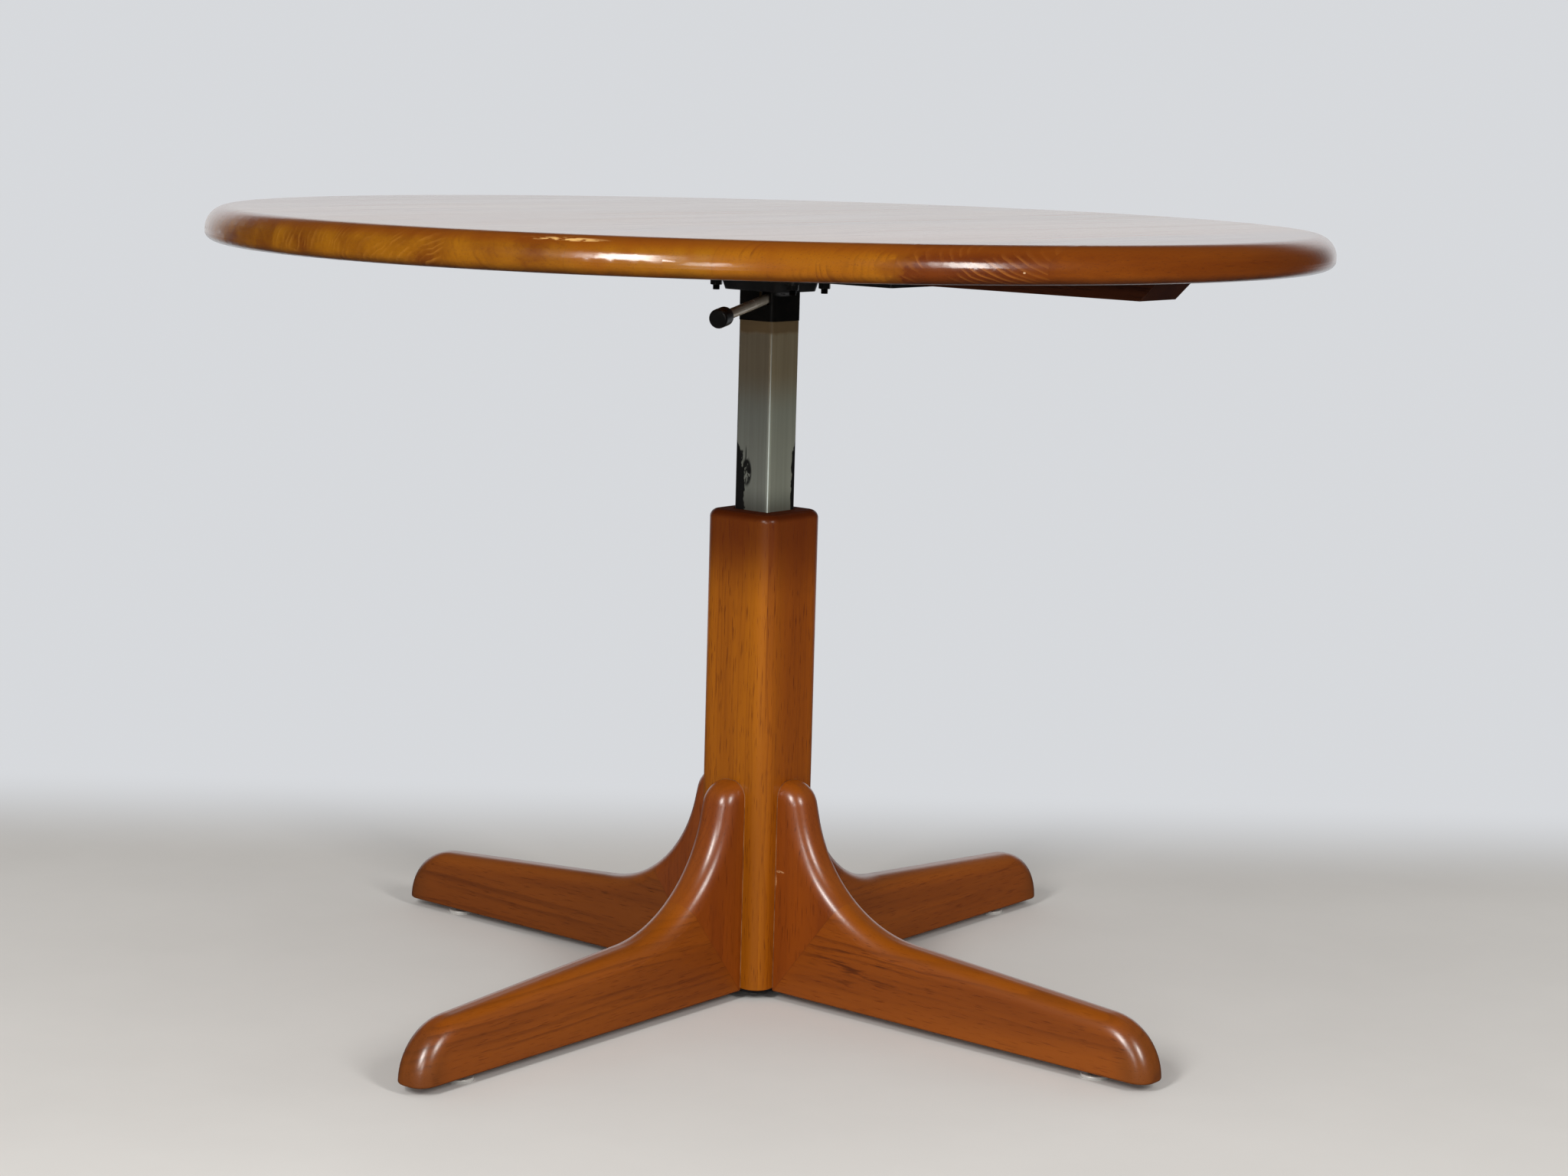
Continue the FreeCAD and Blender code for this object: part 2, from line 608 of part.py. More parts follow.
def pivot_pin():
    across = lever_across()
    half = LEVER_DIAMETER / 2 + CHEEK_GAP + CHEEK_THICKNESS
    pin = cylinder(PIVOT_DIAMETER, 2 * half, pivot_point() - across * half, across)
    room = square_prism(TUBE_BORE, TUBE_BORE, TUBE_BORE_CORNER, DISH_UNDERSIDE - TUBE_SIDE,
                        TUBE_SIDE)
    return pin.common(room)


# ---- sleeve ------------------------------------------------------------------------------

def sleeve_boards(fasteners):
    """Four upright boards, mitred at the sleeve's corners: right, back, left, front."""
    height = SLEEVE_TOP - SLEEVE_BOTTOM
    block = square_prism(SLEEVE_SIDE, SLEEVE_SIDE, SLEEVE_CORNER, SLEEVE_BOTTOM, height)
    rim = [e for e in block.Edges if abs(e.BoundBox.ZMin - SLEEVE_TOP) < TOUCH]
    block = block.makeFillet(SLEEVE_TOP_ROUND, rim)
    foot = [e for e in block.Edges if abs(e.BoundBox.ZMax - SLEEVE_BOTTOM) < TOUCH]
    block = block.makeFillet(SLEEVE_FOOT_ROUND, foot)
    bore = square_prism(SLEEVE_BORE, SLEEVE_BORE, 0, SLEEVE_BOTTOM, height)
    pocket_side = BUSH_SIDE + 2 * PRESS_GAP
    pocket = square_prism(pocket_side, pocket_side, 0, BUSH_TOP - BUSH_HEIGHT, BUSH_HEIGHT)
    sleeve = block.cut([bore, pocket]).cut(fasteners)
    reach = SLEEVE_SIDE
    wedge_outline = [Vector(0, 0, SLEEVE_BOTTOM), Vector(reach, -reach, SLEEVE_BOTTOM),
                     Vector(reach, reach, SLEEVE_BOTTOM), Vector(0, 0, SLEEVE_BOTTOM)]
    wedge = Part.Face(Part.makePolygon(wedge_outline)).extrude(UP * height)
    return [sleeve.common(turned(wedge, quarter)) for quarter in range(4)]


def base_screws():
    """Screws from below the base plate into the middle of each sleeve board."""
    place = SLEEVE_FACE - SLEEVE_BOARD / 2
    first = wood_screw(Vector(place, 0, BASE_PLATE_BOTTOM), UP, BASE_SCREW_LENGTH)
    return [turned(first, quarter) for quarter in range(4)]


def base_plate(fasteners):
    plate = square_prism(BASE_PLATE_SIDE, BASE_PLATE_SIDE, SLEEVE_CORNER, BASE_PLATE_BOTTOM,
                         BASE_PLATE_THICKNESS)
    hole = cylinder(ROD_THREAD_DIAMETER, BASE_PLATE_THICKNESS, Vector(0, 0, BASE_PLATE_BOTTOM))
    return plate.cut([hole] + fasteners)


# ---- legs --------------------------------------------------------------------------------

def leg_outline():
    """Side view of a leg along +X: ledge, curl, steep run, hollow sweep, foot, toe."""
    steep = math.radians(LEG_STEEP)
    slope = math.radians(FOOT_SLOPE)
    ledge_end = Vector(SLEEVE_FACE + LEG_LEDGE, 0, LEG_TOP)
    curl_centre = ledge_end - UP * LEG_CURL

    def on_curl(angle):
        return curl_centre + Vector(math.sin(angle), 0, math.cos(angle)) * LEG_CURL

    def on_toe(angle):
        centre = Vector(TOE_CENTRE_R, 0, TOE_CENTRE_Z)
        return centre + Vector(math.sin(angle), 0, math.cos(angle)) * TOE_RADIUS

    curl_end, foot_end = on_curl(steep), on_toe(slope)
    steep_down = Vector(math.cos(steep), 0, -math.sin(steep))
    foot_in = Vector(-math.cos(slope), 0, math.sin(slope))
    # the two runs meet at a vertex that the sweep rounds off
    between = foot_end - curl_end
    spread = steep_down.x * foot_in.z - steep_down.z * foot_in.x
    down = (between.x * foot_in.z - between.z * foot_in.x) / spread
    vertex = curl_end + steep_down * down
    setback = LEG_SWEEP * math.tan((steep - slope) / 2)
    sweep_start = vertex - steep_down * setback
    sweep_end = vertex - foot_in * setback
    bisector = (sweep_start + sweep_end) / 2 - vertex
    bisector.normalize()
    sweep_gap = LEG_SWEEP * (1 / math.cos((steep - slope) / 2) - 1)
    sweep_middle = vertex + bisector * sweep_gap
    toe_fall = math.acos((LEG_BOTTOM - TOE_CENTRE_Z) / TOE_RADIUS)
    toe_end = on_toe(toe_fall)
    heel = Vector(SLEEVE_FACE, 0, LEG_BOTTOM)
    shoulder = Vector(SLEEVE_FACE, 0, LEG_TOP)
    return Part.Wire([
        Part.makeLine(heel, shoulder),
        Part.makeLine(shoulder, ledge_end),
        Part.Arc(ledge_end, on_curl(steep / 2), curl_end).toShape(),
        Part.makeLine(curl_end, sweep_start),
        Part.Arc(sweep_start, sweep_middle, sweep_end).toShape(),
        Part.makeLine(sweep_end, foot_end),
        Part.Arc(foot_end, on_toe((slope + toe_fall) / 2), toe_end).toShape(),
        Part.makeLine(toe_end, heel),
    ])


def whole_leg():
    """Leg along +X; its upper edges have a large rounding and its lower ones a small one."""
    outline = leg_outline()
    face = Part.Face(outline)
    face.translate(Vector(0, -LEG_WIDTH / 2, 0))
    leg = face.extrude(Vector(0, LEG_WIDTH, 0))
    upper = []
    for edge in leg.Edges:
        box = edge.BoundBox
        beside = box.YMax - box.YMin < TOUCH
        level_low = box.ZMax < LEG_BOTTOM + TOUCH
        at_column = box.XMax < SLEEVE_FACE + TOUCH
        if beside and not level_low and not at_column:
            upper.append(edge)
    leg = leg.makeFillet(LEG_ROUND, upper)
    lower = [e for e in leg.Edges
             if e.BoundBox.ZMax < LEG_BOTTOM + TOUCH and e.BoundBox.XMax > SLEEVE_FACE + TOUCH]
    return leg.makeFillet(LEG_FOOT_ROUND, lower)


def mitre_line(distance, offset=0.0):
    """Point on the mitre between upright and foot, from the heel along it and off it."""
    angle = math.radians(MITRE_ANGLE)
    along = Vector(math.cos(angle), 0, math.sin(angle))
    away = Vector(math.sin(angle), 0, -math.cos(angle))
    return Vector(SLEEVE_FACE, 0, LEG_BOTTOM) + along * distance + away * offset


def foot_side():
    """Everything on the foot's side of the mitre."""
    far = 2 * (TOE_CENTRE_R + TOE_RADIUS)
    back = -LEG_WIDTH
    corners = [mitre_line(-far), mitre_line(far), mitre_line(far, far), mitre_line(-far, far),
               mitre_line(-far)]
    face = Part.Face(Part.makePolygon(corners))
    face.translate(Vector(0, back, 0))
    return face.extrude(Vector(0, 2 * LEG_WIDTH, 0))


def mitre_spline():
    """Thin key across the mitre, in the middle of the leg."""
    middle = (LEG_TOP - LEG_BOTTOM) / 3
    start, end = middle - SPLINE_LENGTH / 2, middle + SPLINE_LENGTH / 2
    half = SPLINE_WIDTH / 2
    corners = [mitre_line(start, -half), mitre_line(end, -half), mitre_line(end, half),
               mitre_line(start, half), mitre_line(start, -half)]
    face = Part.Face(Part.makePolygon(corners))
    face.translate(Vector(0, -SPLINE_THICKNESS / 2, 0))
    return face.extrude(Vector(0, SPLINE_THICKNESS, 0))


def leg_dowels():
    """Dowels along +X, from the sleeve board into the upright."""
    return [cylinder(DOWEL_DIAMETER, DOWEL_LENGTH,
                     Vector(SLEEVE_FACE - DOWEL_DEPTH, 0, height), Vector(1, 0, 0))
            for height in DOWEL_HEIGHTS]


def glide_pocket():
    base = Vector(GLIDE_RADIUS, 0, LEG_BOTTOM)
    wide = cylinder(INSERT_DIAMETER, INSERT_DEPTH, base)
    narrow = cylinder(STEM_DIAMETER + 2 * STEM_POCKET_GAP, STEM_DEPTH + STEM_POCKET, base)
    return wide.fuse(narrow)


def glide_insert():
    base = Vector(GLIDE_RADIUS, 0, LEG_BOTTOM)
    ring = cylinder(INSERT_DIAMETER, INSERT_DEPTH, base)
    return ring.cut(cylinder(STEM_DIAMETER + 2 * RUNNING_CLEARANCE, INSERT_DEPTH, base))


def glide_disc():
    base = Vector(GLIDE_RADIUS, 0, 0)
    disc = cylinder(GLIDE_DIAMETER, GLIDE_HEIGHT, base)
    rim = [e for e in disc.Edges if e.BoundBox.ZMin > GLIDE_HEIGHT - TOUCH]
    disc = disc.makeFillet(GLIDE_ROUND, rim)
    return disc.cut(cylinder(STEM_DIAMETER, GLIDE_HEIGHT / 2, base + UP * (GLIDE_HEIGHT / 2)))


def glide_stem():
    """Threaded stem with a neck, whose end sits in the disc."""
    low = Vector(GLIDE_RADIUS, 0, GLIDE_HEIGHT)
    neck = cylinder(GLIDE_NECK, LEG_BOTTOM - GLIDE_HEIGHT - NECK_GAP, low)
    foot = cylinder(STEM_DIAMETER, GLIDE_HEIGHT / 2, low - UP * (GLIDE_HEIGHT / 2))
    stem = cylinder(STEM_DIAMETER, STEM_DEPTH + LEG_BOTTOM - GLIDE_HEIGHT, low)
    return neck.fuse([foot, stem]).removeSplitter()


# ---- assembly ----------------------------------------------------------------------------

def build_parts():
    """Every piece by its name; a list is a group of like pieces."""
    parts = {}
    batten_fixings = batten_screws()
    bar_fixings = bar_screws()
    plate_studs = studs()
    boards = top_boards(batten_fixings + bar_fixings)
    for number, board in enumerate(boards, start=1):
        parts["top_board_%02d" % number] = board
    parts["batten"] = batten(batten_fixings + bar_fixings)
    parts["batten_screws"] = batten_fixings
    parts["steel_bar"] = steel_bar(bar_fixings + plate_studs)
    parts["bar_screws"] = bar_fixings
    parts["plate_studs"] = plate_studs
    parts["stud_washers"] = stud_washers()
    parts["stud_nuts"] = stud_nuts()
    parts["mount_plate"] = mount_plate()
    parts["column_tube"] = column_tube()
    parts["column_collar"] = column_collar()
    parts["slide_shoe"] = slide_shoe()
    parts["guide_bush"] = guide_bush()
    parts["gas_cylinder"] = gas_cylinder()
    parts["cylinder_socket"] = cylinder_socket()
    parts["rod_guide"] = rod_guide()
    parts["gas_rod"] = gas_rod()
    parts["gas_piston"] = gas_piston()
    parts["rod_nut"] = rod_nut()
    parts["release_pin"] = release_pin()
    parts["lever_rod"] = lever_rod()
    parts["lever_cap"] = lever_cap()
    parts["lever_bracket"] = lever_bracket()
    parts["pivot_pin"] = pivot_pin()

    dowels = [turned(dowel, quarter) for quarter in range(4) for dowel in leg_dowels()]
    plate_fixings = base_screws()
    sides = ("right", "back", "left", "front")
    for side, board in zip(sides, sleeve_boards(dowels + plate_fixings)):
        parts["sleeve_board_" + side] = board
    parts["leg_dowels"] = dowels
    parts["base_plate"] = base_plate(plate_fixings)
    parts["base_screws"] = plate_fixings

    spline = mitre_spline()
    solid_leg = whole_leg().cut(leg_dowels() + [spline, glide_pocket()])
    foot = solid_leg.common(foot_side())
    upright = solid_leg.cut(foot_side())
    parts["mitre_splines"] = [turned(spline, quarter) for quarter in range(4)]
    parts["glide_inserts"] = [turned(glide_insert(), quarter) for quarter in range(4)]
    for quarter, side in enumerate(sides):
        parts["leg_upright_" + side] = turned(upright, quarter)
        parts["leg_foot_" + side] = turned(foot, quarter)
        parts["glide_disc_" + side] = turned(glide_disc(), quarter)
        parts["glide_stem_" + side] = turned(glide_stem(), quarter)
    return parts


def write_parts(parts):
    os.makedirs("parts", exist_ok=True)
    for name, piece in parts.items():
        shape = Part.makeCompound(piece) if isinstance(piece, list) else piece
        if not shape.isValid() or not shape.Solids:
            raise RuntimeError(name + " is not a valid solid")
        if len(shape.Solids) == 1:
            shape = shape.Solids[0]
        shape.exportStep("parts/" + name + ".step")


write_parts(build_parts())
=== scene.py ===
"""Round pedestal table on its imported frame: camera, light, floor, finishes and small pieces.

Metres, +Z up, origin on the floor on the column's axis.  The boards of the top run
along Y and the legs lie along X and Y.
"""
import bpy
import math
from mathutils import Matrix, Vector


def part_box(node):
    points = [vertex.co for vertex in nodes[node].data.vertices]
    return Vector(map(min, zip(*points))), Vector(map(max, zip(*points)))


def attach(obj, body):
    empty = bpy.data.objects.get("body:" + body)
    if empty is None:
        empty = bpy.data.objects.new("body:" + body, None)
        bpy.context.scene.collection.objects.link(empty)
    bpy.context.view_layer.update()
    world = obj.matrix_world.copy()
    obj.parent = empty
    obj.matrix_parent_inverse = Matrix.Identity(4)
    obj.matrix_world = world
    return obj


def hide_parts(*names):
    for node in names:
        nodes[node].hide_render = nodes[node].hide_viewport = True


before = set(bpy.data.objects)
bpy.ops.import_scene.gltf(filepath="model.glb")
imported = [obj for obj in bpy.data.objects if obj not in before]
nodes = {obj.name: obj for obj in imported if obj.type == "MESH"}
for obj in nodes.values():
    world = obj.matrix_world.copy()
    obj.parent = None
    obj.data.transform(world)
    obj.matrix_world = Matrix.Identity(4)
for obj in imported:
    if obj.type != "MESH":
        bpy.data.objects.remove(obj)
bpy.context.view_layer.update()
SIDES = ("right", "back", "left", "front")
QUARTER = math.pi / 2

# ---- camera --------------------------------------------------------------------------

CAMERA_PLACE = Vector((1.7727, -2.1523, 0.8166))
CAMERA_HEADING = math.radians(39.069)  # from +Y towards -X
CAMERA_DIP = math.radians(8.952)
CAMERA_ROLL = math.radians(1.564)
CAMERA_LENS = 70.96
CAMERA_REACH = 60.0


def add_object(name, data):
    """Puts data into the scene as an object."""
    made = bpy.data.objects.new(name, data)
    bpy.context.scene.collection.objects.link(made)
    return made


def make_camera():
    """The scene's camera, in its place."""
    data = bpy.data.cameras.new("camera")
    data.lens = CAMERA_LENS
    data.clip_end = CAMERA_REACH
    camera = add_object("camera", data)
    turn = (Matrix.Rotation(CAMERA_HEADING, 4, "Z")
            @ Matrix.Rotation(QUARTER - CAMERA_DIP, 4, "X")
            @ Matrix.Rotation(CAMERA_ROLL, 4, "Z"))
    camera.matrix_world = Matrix.Translation(CAMERA_PLACE) @ turn
    bpy.context.scene.camera = camera


# ---- small helpers for node trees ----------------------------------------------------

class Tree:
    """Adds nodes to a tree; an input takes a value, a colour or another node's output."""

    def __init__(self, tree):
        self.tree = tree
        self.nodes = tree.nodes
        self.nodes.clear()

    def add(self, kind, inputs=None, **settings):
        made = self.nodes.new(kind)
        for name, value in settings.items():
            setattr(made, name, value)
        for key, value in (inputs or {}).items():
            self.feed(made.inputs[key], value)
        return made

    def feed(self, socket, value):
        if isinstance(value, bpy.types.NodeSocket):
            self.tree.links.new(value, socket)
        elif socket.type == "RGBA":
            socket.default_value = (*value, 1.0)
        else:
            socket.default_value = value

    def math(self, operation, first, second=0.0, clamp=False):
        made = self.add("ShaderNodeMath", {0: first, 1: second}, operation=operation)
        made.use_clamp = clamp
        return made.outputs[0]

    def times(self, first, second, clamp=False):
        return self.math("MULTIPLY", first, second, clamp)

    def plus(self, first, second, clamp=False):
        return self.math("ADD", first, second, clamp)

    def vector(self, operation, first, second=(0, 0, 0)):
        made = self.add("ShaderNodeVectorMath", {0: first}, operation=operation)
        if operation == "SCALE":
            self.feed(made.inputs["Scale"], second)
        else:
            self.feed(made.inputs[1], second)
        scalar = operation in ("LENGTH", "DOT_PRODUCT")
        return made.outputs["Value" if scalar else "Vector"]

    def split(self, vector):
        return self.add("ShaderNodeSeparateXYZ", {0: vector}).outputs

    def join(self, x, y, z):
        return self.add("ShaderNodeCombineXYZ", {0: x, 1: y, 2: z}).outputs[0]

    def noise(self, vector, scale, detail=2.0, roughness=0.5):
        made = self.add("ShaderNodeTexNoise", {"Vector": vector, "Scale": scale,
                                               "Detail": detail, "Roughness": roughness})
        return made.outputs

    def step(self, value, low, high, to_low=0.0, to_high=1.0):
        """Smooth step of a value between two limits."""
        made = self.add("ShaderNodeMapRange", {"Value": value, "From Min": low, "From Max": high,
                                               "To Min": to_low, "To Max": to_high},
                        interpolation_type="SMOOTHSTEP")
        return made.outputs[0]

    def mix(self, share, first, second, blend="MIX"):
        made = self.add("ShaderNodeMix", data_type="RGBA", blend_type=blend)
        self.feed(made.inputs[0], share)
        self.feed(made.inputs[6], first)
        self.feed(made.inputs[7], second)
        return made.outputs[2]

    def group(self, group, values):
        made = self.add("ShaderNodeGroup", node_tree=group)
        for key, value in values.items():
            self.feed(made.inputs[key], value)
        return made.outputs

    def place(self):
        return self.add("ShaderNodeTexCoord").outputs["Object"]

    def grain(self, place, stretch, detail=2.0, roughness=0.5):
        """Value of a noise whose frequency differs by axis."""
        stretched = self.vector("MULTIPLY", place, stretch)
        return self.noise(stretched, 1.0, detail, roughness)["Fac"]

    def surface(self, inputs):
        """Principled shader as the material's surface."""
        shader = self.add("ShaderNodeBsdfPrincipled", inputs)
        self.add("ShaderNodeOutputMaterial", {"Surface": shader.outputs[0]})


def new_material(name):
    material = bpy.data.materials.new(name)
    material.use_nodes = True
    return material, Tree(material.node_tree)


def new_group(name, inputs, outputs, kind="ShaderNodeTree"):
    """Node group with named sockets; gives its tree, its inputs and its output node."""
    group = bpy.data.node_groups.new(name, kind)
    for socket, kind in inputs:
        group.interface.new_socket(socket, in_out="INPUT", socket_type="NodeSocket" + kind)
    for socket, kind in outputs:
        group.interface.new_socket(socket, in_out="OUTPUT", socket_type="NodeSocket" + kind)
    tree = Tree(group)
    entry = tree.add("NodeGroupInput")
    leave = tree.add("NodeGroupOutput")
    return tree, entry.outputs, leave


# ---- effects shared by several finishes ----------------------------------------------

RELIEF_DEPTH = 0.0002  # depth of fine relief in wood and metal

# frequencies of the wood's noises, twice across the grain and once along it
DRIFT_GRAIN = (24.0, 24.0, 3.4)
FADE_GRAIN = (60.0, 60.0, 5.0)
FIBRE_GRAIN = (420.0, 420.0, 9.0)
PORE_GRAIN = (1100.0, 1100.0, 55.0)
STREAK_GRAIN = (30.0, 30.0, 2.4)
PATCH_GRAIN = (30.0, 30.0, 3.0)


def build_wood_group():
    """Solid wood round a pith that lies on Z: rings, fibres and pores at their real sizes."""
    tree, given, leave = new_group(
        "wood_figure",
        [("Place", "Vector"), ("Seed", "Float"), ("Ring Width", "Float"), ("Wander", "Float"),
         ("Light Wood", "Color"), ("Dark Wood", "Color"), ("Ring Colour", "Color"),
         ("Ring Strength", "Float"), ("Pore Strength", "Float"), ("Patch Strength", "Float")],
        [("Color", "Color"), ("Height", "Float"), ("Polish", "Float")])
    moved = tree.vector("ADD", given["Place"], tree.join(given["Seed"], 0.0, given["Seed"]))
    x, y, _ = tree.split(given["Place"])
    # slow wander of the rings, far slower along the grain
    slow = tree.vector("MULTIPLY", moved, DRIFT_GRAIN)
    drift = tree.vector("SUBTRACT", tree.noise(slow, 1.0, 3.0, 0.55)["Color"], (0.5, 0.5, 0.5))
    drift = tree.vector("SCALE", drift, given["Wander"])
    drift_x, drift_y, _ = tree.split(drift)
    flat = tree.join(tree.plus(x, drift_x), tree.plus(y, drift_y), 0.0)
    turns = tree.math("DIVIDE", tree.vector("LENGTH", flat), given["Ring Width"])
    uneven = tree.noise(tree.join(tree.times(turns, 0.37), given["Seed"], 0.0), 1.0)
    turns = tree.plus(turns, tree.times(uneven["Fac"], 2.4))
    year = tree.math("FLOOR", turns)
    part = tree.math("FRACT", turns)
    late = tree.times(tree.step(part, 0.45, 0.92), tree.step(part, 1.0, 0.94))
    weight = tree.add("ShaderNodeTexWhiteNoise", {"W": tree.plus(year, given["Seed"])},
                      noise_dimensions="1D").outputs["Value"]
    weight = tree.plus(tree.times(weight, 0.8), 0.2)
    # each ring fades in and out along its run
    fading = tree.step(tree.grain(moved, FADE_GRAIN), 0.36, 0.62)
    rings = tree.times(tree.times(late, weight), fading)
    # fibres and pores
    fibre = tree.grain(moved, FIBRE_GRAIN, 3.0, 0.6)
    pores = tree.step(tree.grain(moved, PORE_GRAIN, 1.0), 0.60, 0.74)
    # broad streaks along the grain, and rounder patches
    tone = tree.step(tree.grain(moved, STREAK_GRAIN, 3.0), 0.30, 0.70)
    patches = tree.grain(moved, PATCH_GRAIN, 3.0, 0.55)
    patch = tree.math("SUBTRACT", tree.step(patches, 0.36, 0.64), 0.5)
    tone = tree.plus(tree.times(tone, 0.72), tree.times(fibre, 0.36))
    tone = tree.plus(tone, tree.times(patch, given["Patch Strength"]), clamp=True)
    wood = tree.mix(tone, given["Dark Wood"], given["Light Wood"])
    wood = tree.mix(tree.times(rings, given["Ring Strength"], clamp=True),
                    wood, given["Ring Colour"])
    wood = tree.mix(tree.times(pores, given["Pore Strength"], clamp=True),
                    wood, given["Dark Wood"], "MULTIPLY")
    tree.feed(leave.inputs["Color"], wood)
    height = tree.math("SUBTRACT", tree.times(fibre, 0.4), pores)
    tree.feed(leave.inputs["Height"], height)
    polish = tree.plus(tree.times(pores, 0.10), tree.times(tone, 0.05))
    tree.feed(leave.inputs["Polish"], polish)
    return tree.tree


def build_joint_group():
    """Fine line where a plane crosses the surface, as a glued joint shows."""
    tree, given, leave = new_group(
        "joint_line",
        [("Place", "Vector"), ("Plane Point", "Vector"), ("Plane Normal", "Vector"),
         ("Line Width", "Float")],
        [("Mask", "Float")])
    away = tree.vector("SUBTRACT", given["Place"], given["Plane Point"])
    distance = tree.math("ABSOLUTE", tree.vector("DOT_PRODUCT", away, given["Plane Normal"]))
    edge = tree.times(given["Line Width"], 0.4)
    line = tree.step(distance, given["Line Width"], edge)
    broken = tree.noise(tree.vector("SCALE", given["Place"], 90.0), 1.0, 2.0)["Fac"]
    tree.feed(leave.inputs["Mask"], tree.times(line, tree.step(broken, 0.25, 0.6, 0.35)))
    return tree.tree


def build_patch_group():
    """Marks inside one soft-edged place: rubs, chips, smears or residue."""
    tree, given, leave = new_group(
        "marked_place",
        [("Place", "Vector"), ("Middle", "Vector"), ("Reach", "Vector"), ("Grain", "Vector"),
         ("Amount", "Float"), ("Softness", "Float")],
        [("Mask", "Float")])
    away = tree.vector("DIVIDE", tree.vector("SUBTRACT", given["Place"], given["Middle"]),
                       given["Reach"])
    speckle = tree.grain(given["Place"], given["Grain"], 3.0, 0.6)
    inner = tree.math("SUBTRACT", 1.0, given["Softness"])
    window = tree.step(tree.vector("LENGTH", away), 1.0, inner)
    low = tree.math("SUBTRACT", 0.72, given["Amount"])
    high = tree.plus(low, 0.12)
    tree.feed(leave.inputs["Mask"], tree.times(window, tree.step(speckle, low, high)))
    return tree.tree


def build_edge_group():
    """Mask of an edge's outermost part, broken up as handling wears it."""
    tree, given, leave = new_group(
        "worn_edge", [("Place", "Vector"), ("Width", "Float")], [("Mask", "Float")])
    soft = tree.add("ShaderNodeBevel", {"Radius": given["Width"]}, samples=6).outputs[0]
    flat = tree.add("ShaderNodeNewGeometry").outputs["Normal"]
    turn = tree.vector("DOT_PRODUCT", soft, flat)
    edge = tree.step(turn, 0.985, 0.90)
    broken = tree.noise(tree.vector("SCALE", given["Place"], 260.0), 1.0, 4.0, 0.65)["Fac"]
    tree.feed(leave.inputs["Mask"], tree.times(edge, tree.step(broken, 0.46, 0.58)))
    return tree.tree


def build_dust_group():
    """Fine dust that settles on what faces up."""
    tree, given, leave = new_group(
        "settled_dust", [("Place", "Vector"), ("Amount", "Float")], [("Mask", "Float")])
    _, _, up = tree.split(tree.add("ShaderNodeNewGeometry").outputs["Normal"])
    cloud = tree.noise(tree.vector("SCALE", given["Place"], 30.0), 1.0, 5.0, 0.65)["Fac"]
    specks = tree.noise(tree.vector("SCALE", given["Place"], 900.0), 1.0, 1.0)["Fac"]
    layer = tree.times(tree.step(cloud, 0.35, 0.75), 0.35)
    points = tree.step(specks, 0.70, 0.78)
    both = tree.plus(layer, points, clamp=True)
    settled = tree.times(both, tree.step(up, 0.2, 0.9))
    tree.feed(leave.inputs["Mask"], tree.times(settled, given["Amount"]))
    return tree.tree


WOOD_GROUP = build_wood_group()
JOINT_GROUP = build_joint_group()
PATCH_GROUP = build_patch_group()
EDGE_GROUP = build_edge_group()
DUST_GROUP = build_dust_group()

# ---- wood ----------------------------------------------------------------------------

GRAIN_TURN = {
    "X": (0.0, QUARTER, 0.0),
    "Y": (QUARTER, 0.0, 0.0),
    "Z": (0.0, 0.0, 0.0),
}
GLUE_WIDTH = 0.0006  # width of a glued joint's line
WOOD_RELIEF = 0.35  # strength of the pores' relief under the lacquer


def start_wood(name, grain, pith, seed, light, dark, ring, ring_width=0.004, wander=0.02,
               ring_strength=0.6, pore_strength=0.35, patch_strength=0.3):
    """Material with a wood figure, its grain along an axis and its pith through a point."""
    material, tree = new_material(name)
    place = tree.place()
    shifted = tree.vector("SUBTRACT", place, pith)
    along = tree.add("ShaderNodeMapping", {"Vector": shifted, "Rotation": GRAIN_TURN[grain]})
    figure = tree.group(WOOD_GROUP, {
        "Place": along.outputs[0], "Seed": seed, "Ring Width": ring_width, "Wander": wander,
        "Light Wood": light, "Dark Wood": dark, "Ring Colour": ring,
        "Ring Strength": ring_strength, "Pore Strength": pore_strength,
        "Patch Strength": patch_strength})
    return material, tree, place, figure


def mark(tree, place, tint, middle, reach, grain, amount, mark_colour, softness, strength=1.0):
    """Lays one marked place over a colour."""
    spot = tree.group(PATCH_GROUP, {"Place": place, "Middle": middle, "Reach": reach,
                                    "Grain": grain, "Amount": amount, "Softness": softness})
    share = tree.times(spot["Mask"], strength)
    return tree.mix(share, tint, mark_colour)


def joint(tree, place, tint, point, normal, line_colour, strength):
    """Lays one glued joint's line over a colour."""
    line = tree.group(JOINT_GROUP, {"Place": place, "Plane Point": point,
                                    "Plane Normal": normal, "Line Width": GLUE_WIDTH})
    return tree.mix(tree.times(line["Mask"], strength), tint, line_colour)


def lacquer(tree, tint, figure, roughness, coat, coat_roughness, ripple=0.08, gloss=1.5,
            sunk=0.15):
    """Finishes a wood material with clear lacquer, thinner where it has sunk into pores."""
    wood_relief, film_relief = [
        tree.add("ShaderNodeBump", {"Strength": strength, "Distance": RELIEF_DEPTH,
                                    "Height": figure["Height"]}).outputs[0]
        for strength in (WOOD_RELIEF, ripple)]
    shine = tree.plus(figure["Polish"], roughness)
    film = tree.times(tree.step(figure["Polish"], 0.02, 0.12, 1.0, 1.0 - sunk), coat)
    tree.surface({
        "Base Color": tint, "Roughness": shine, "Normal": wood_relief,
        "Specular IOR Level": 0.08, "Coat Weight": film, "Coat Roughness": coat_roughness,
        "Coat Normal": film_relief, "Coat IOR": gloss})


def dress(node, material):
    """Gives a CAD node one finish."""
    mesh = nodes[node].data
    mesh.materials.clear()
    mesh.materials.append(material)


# ---- boards of the top ---------------------------------------------------------------

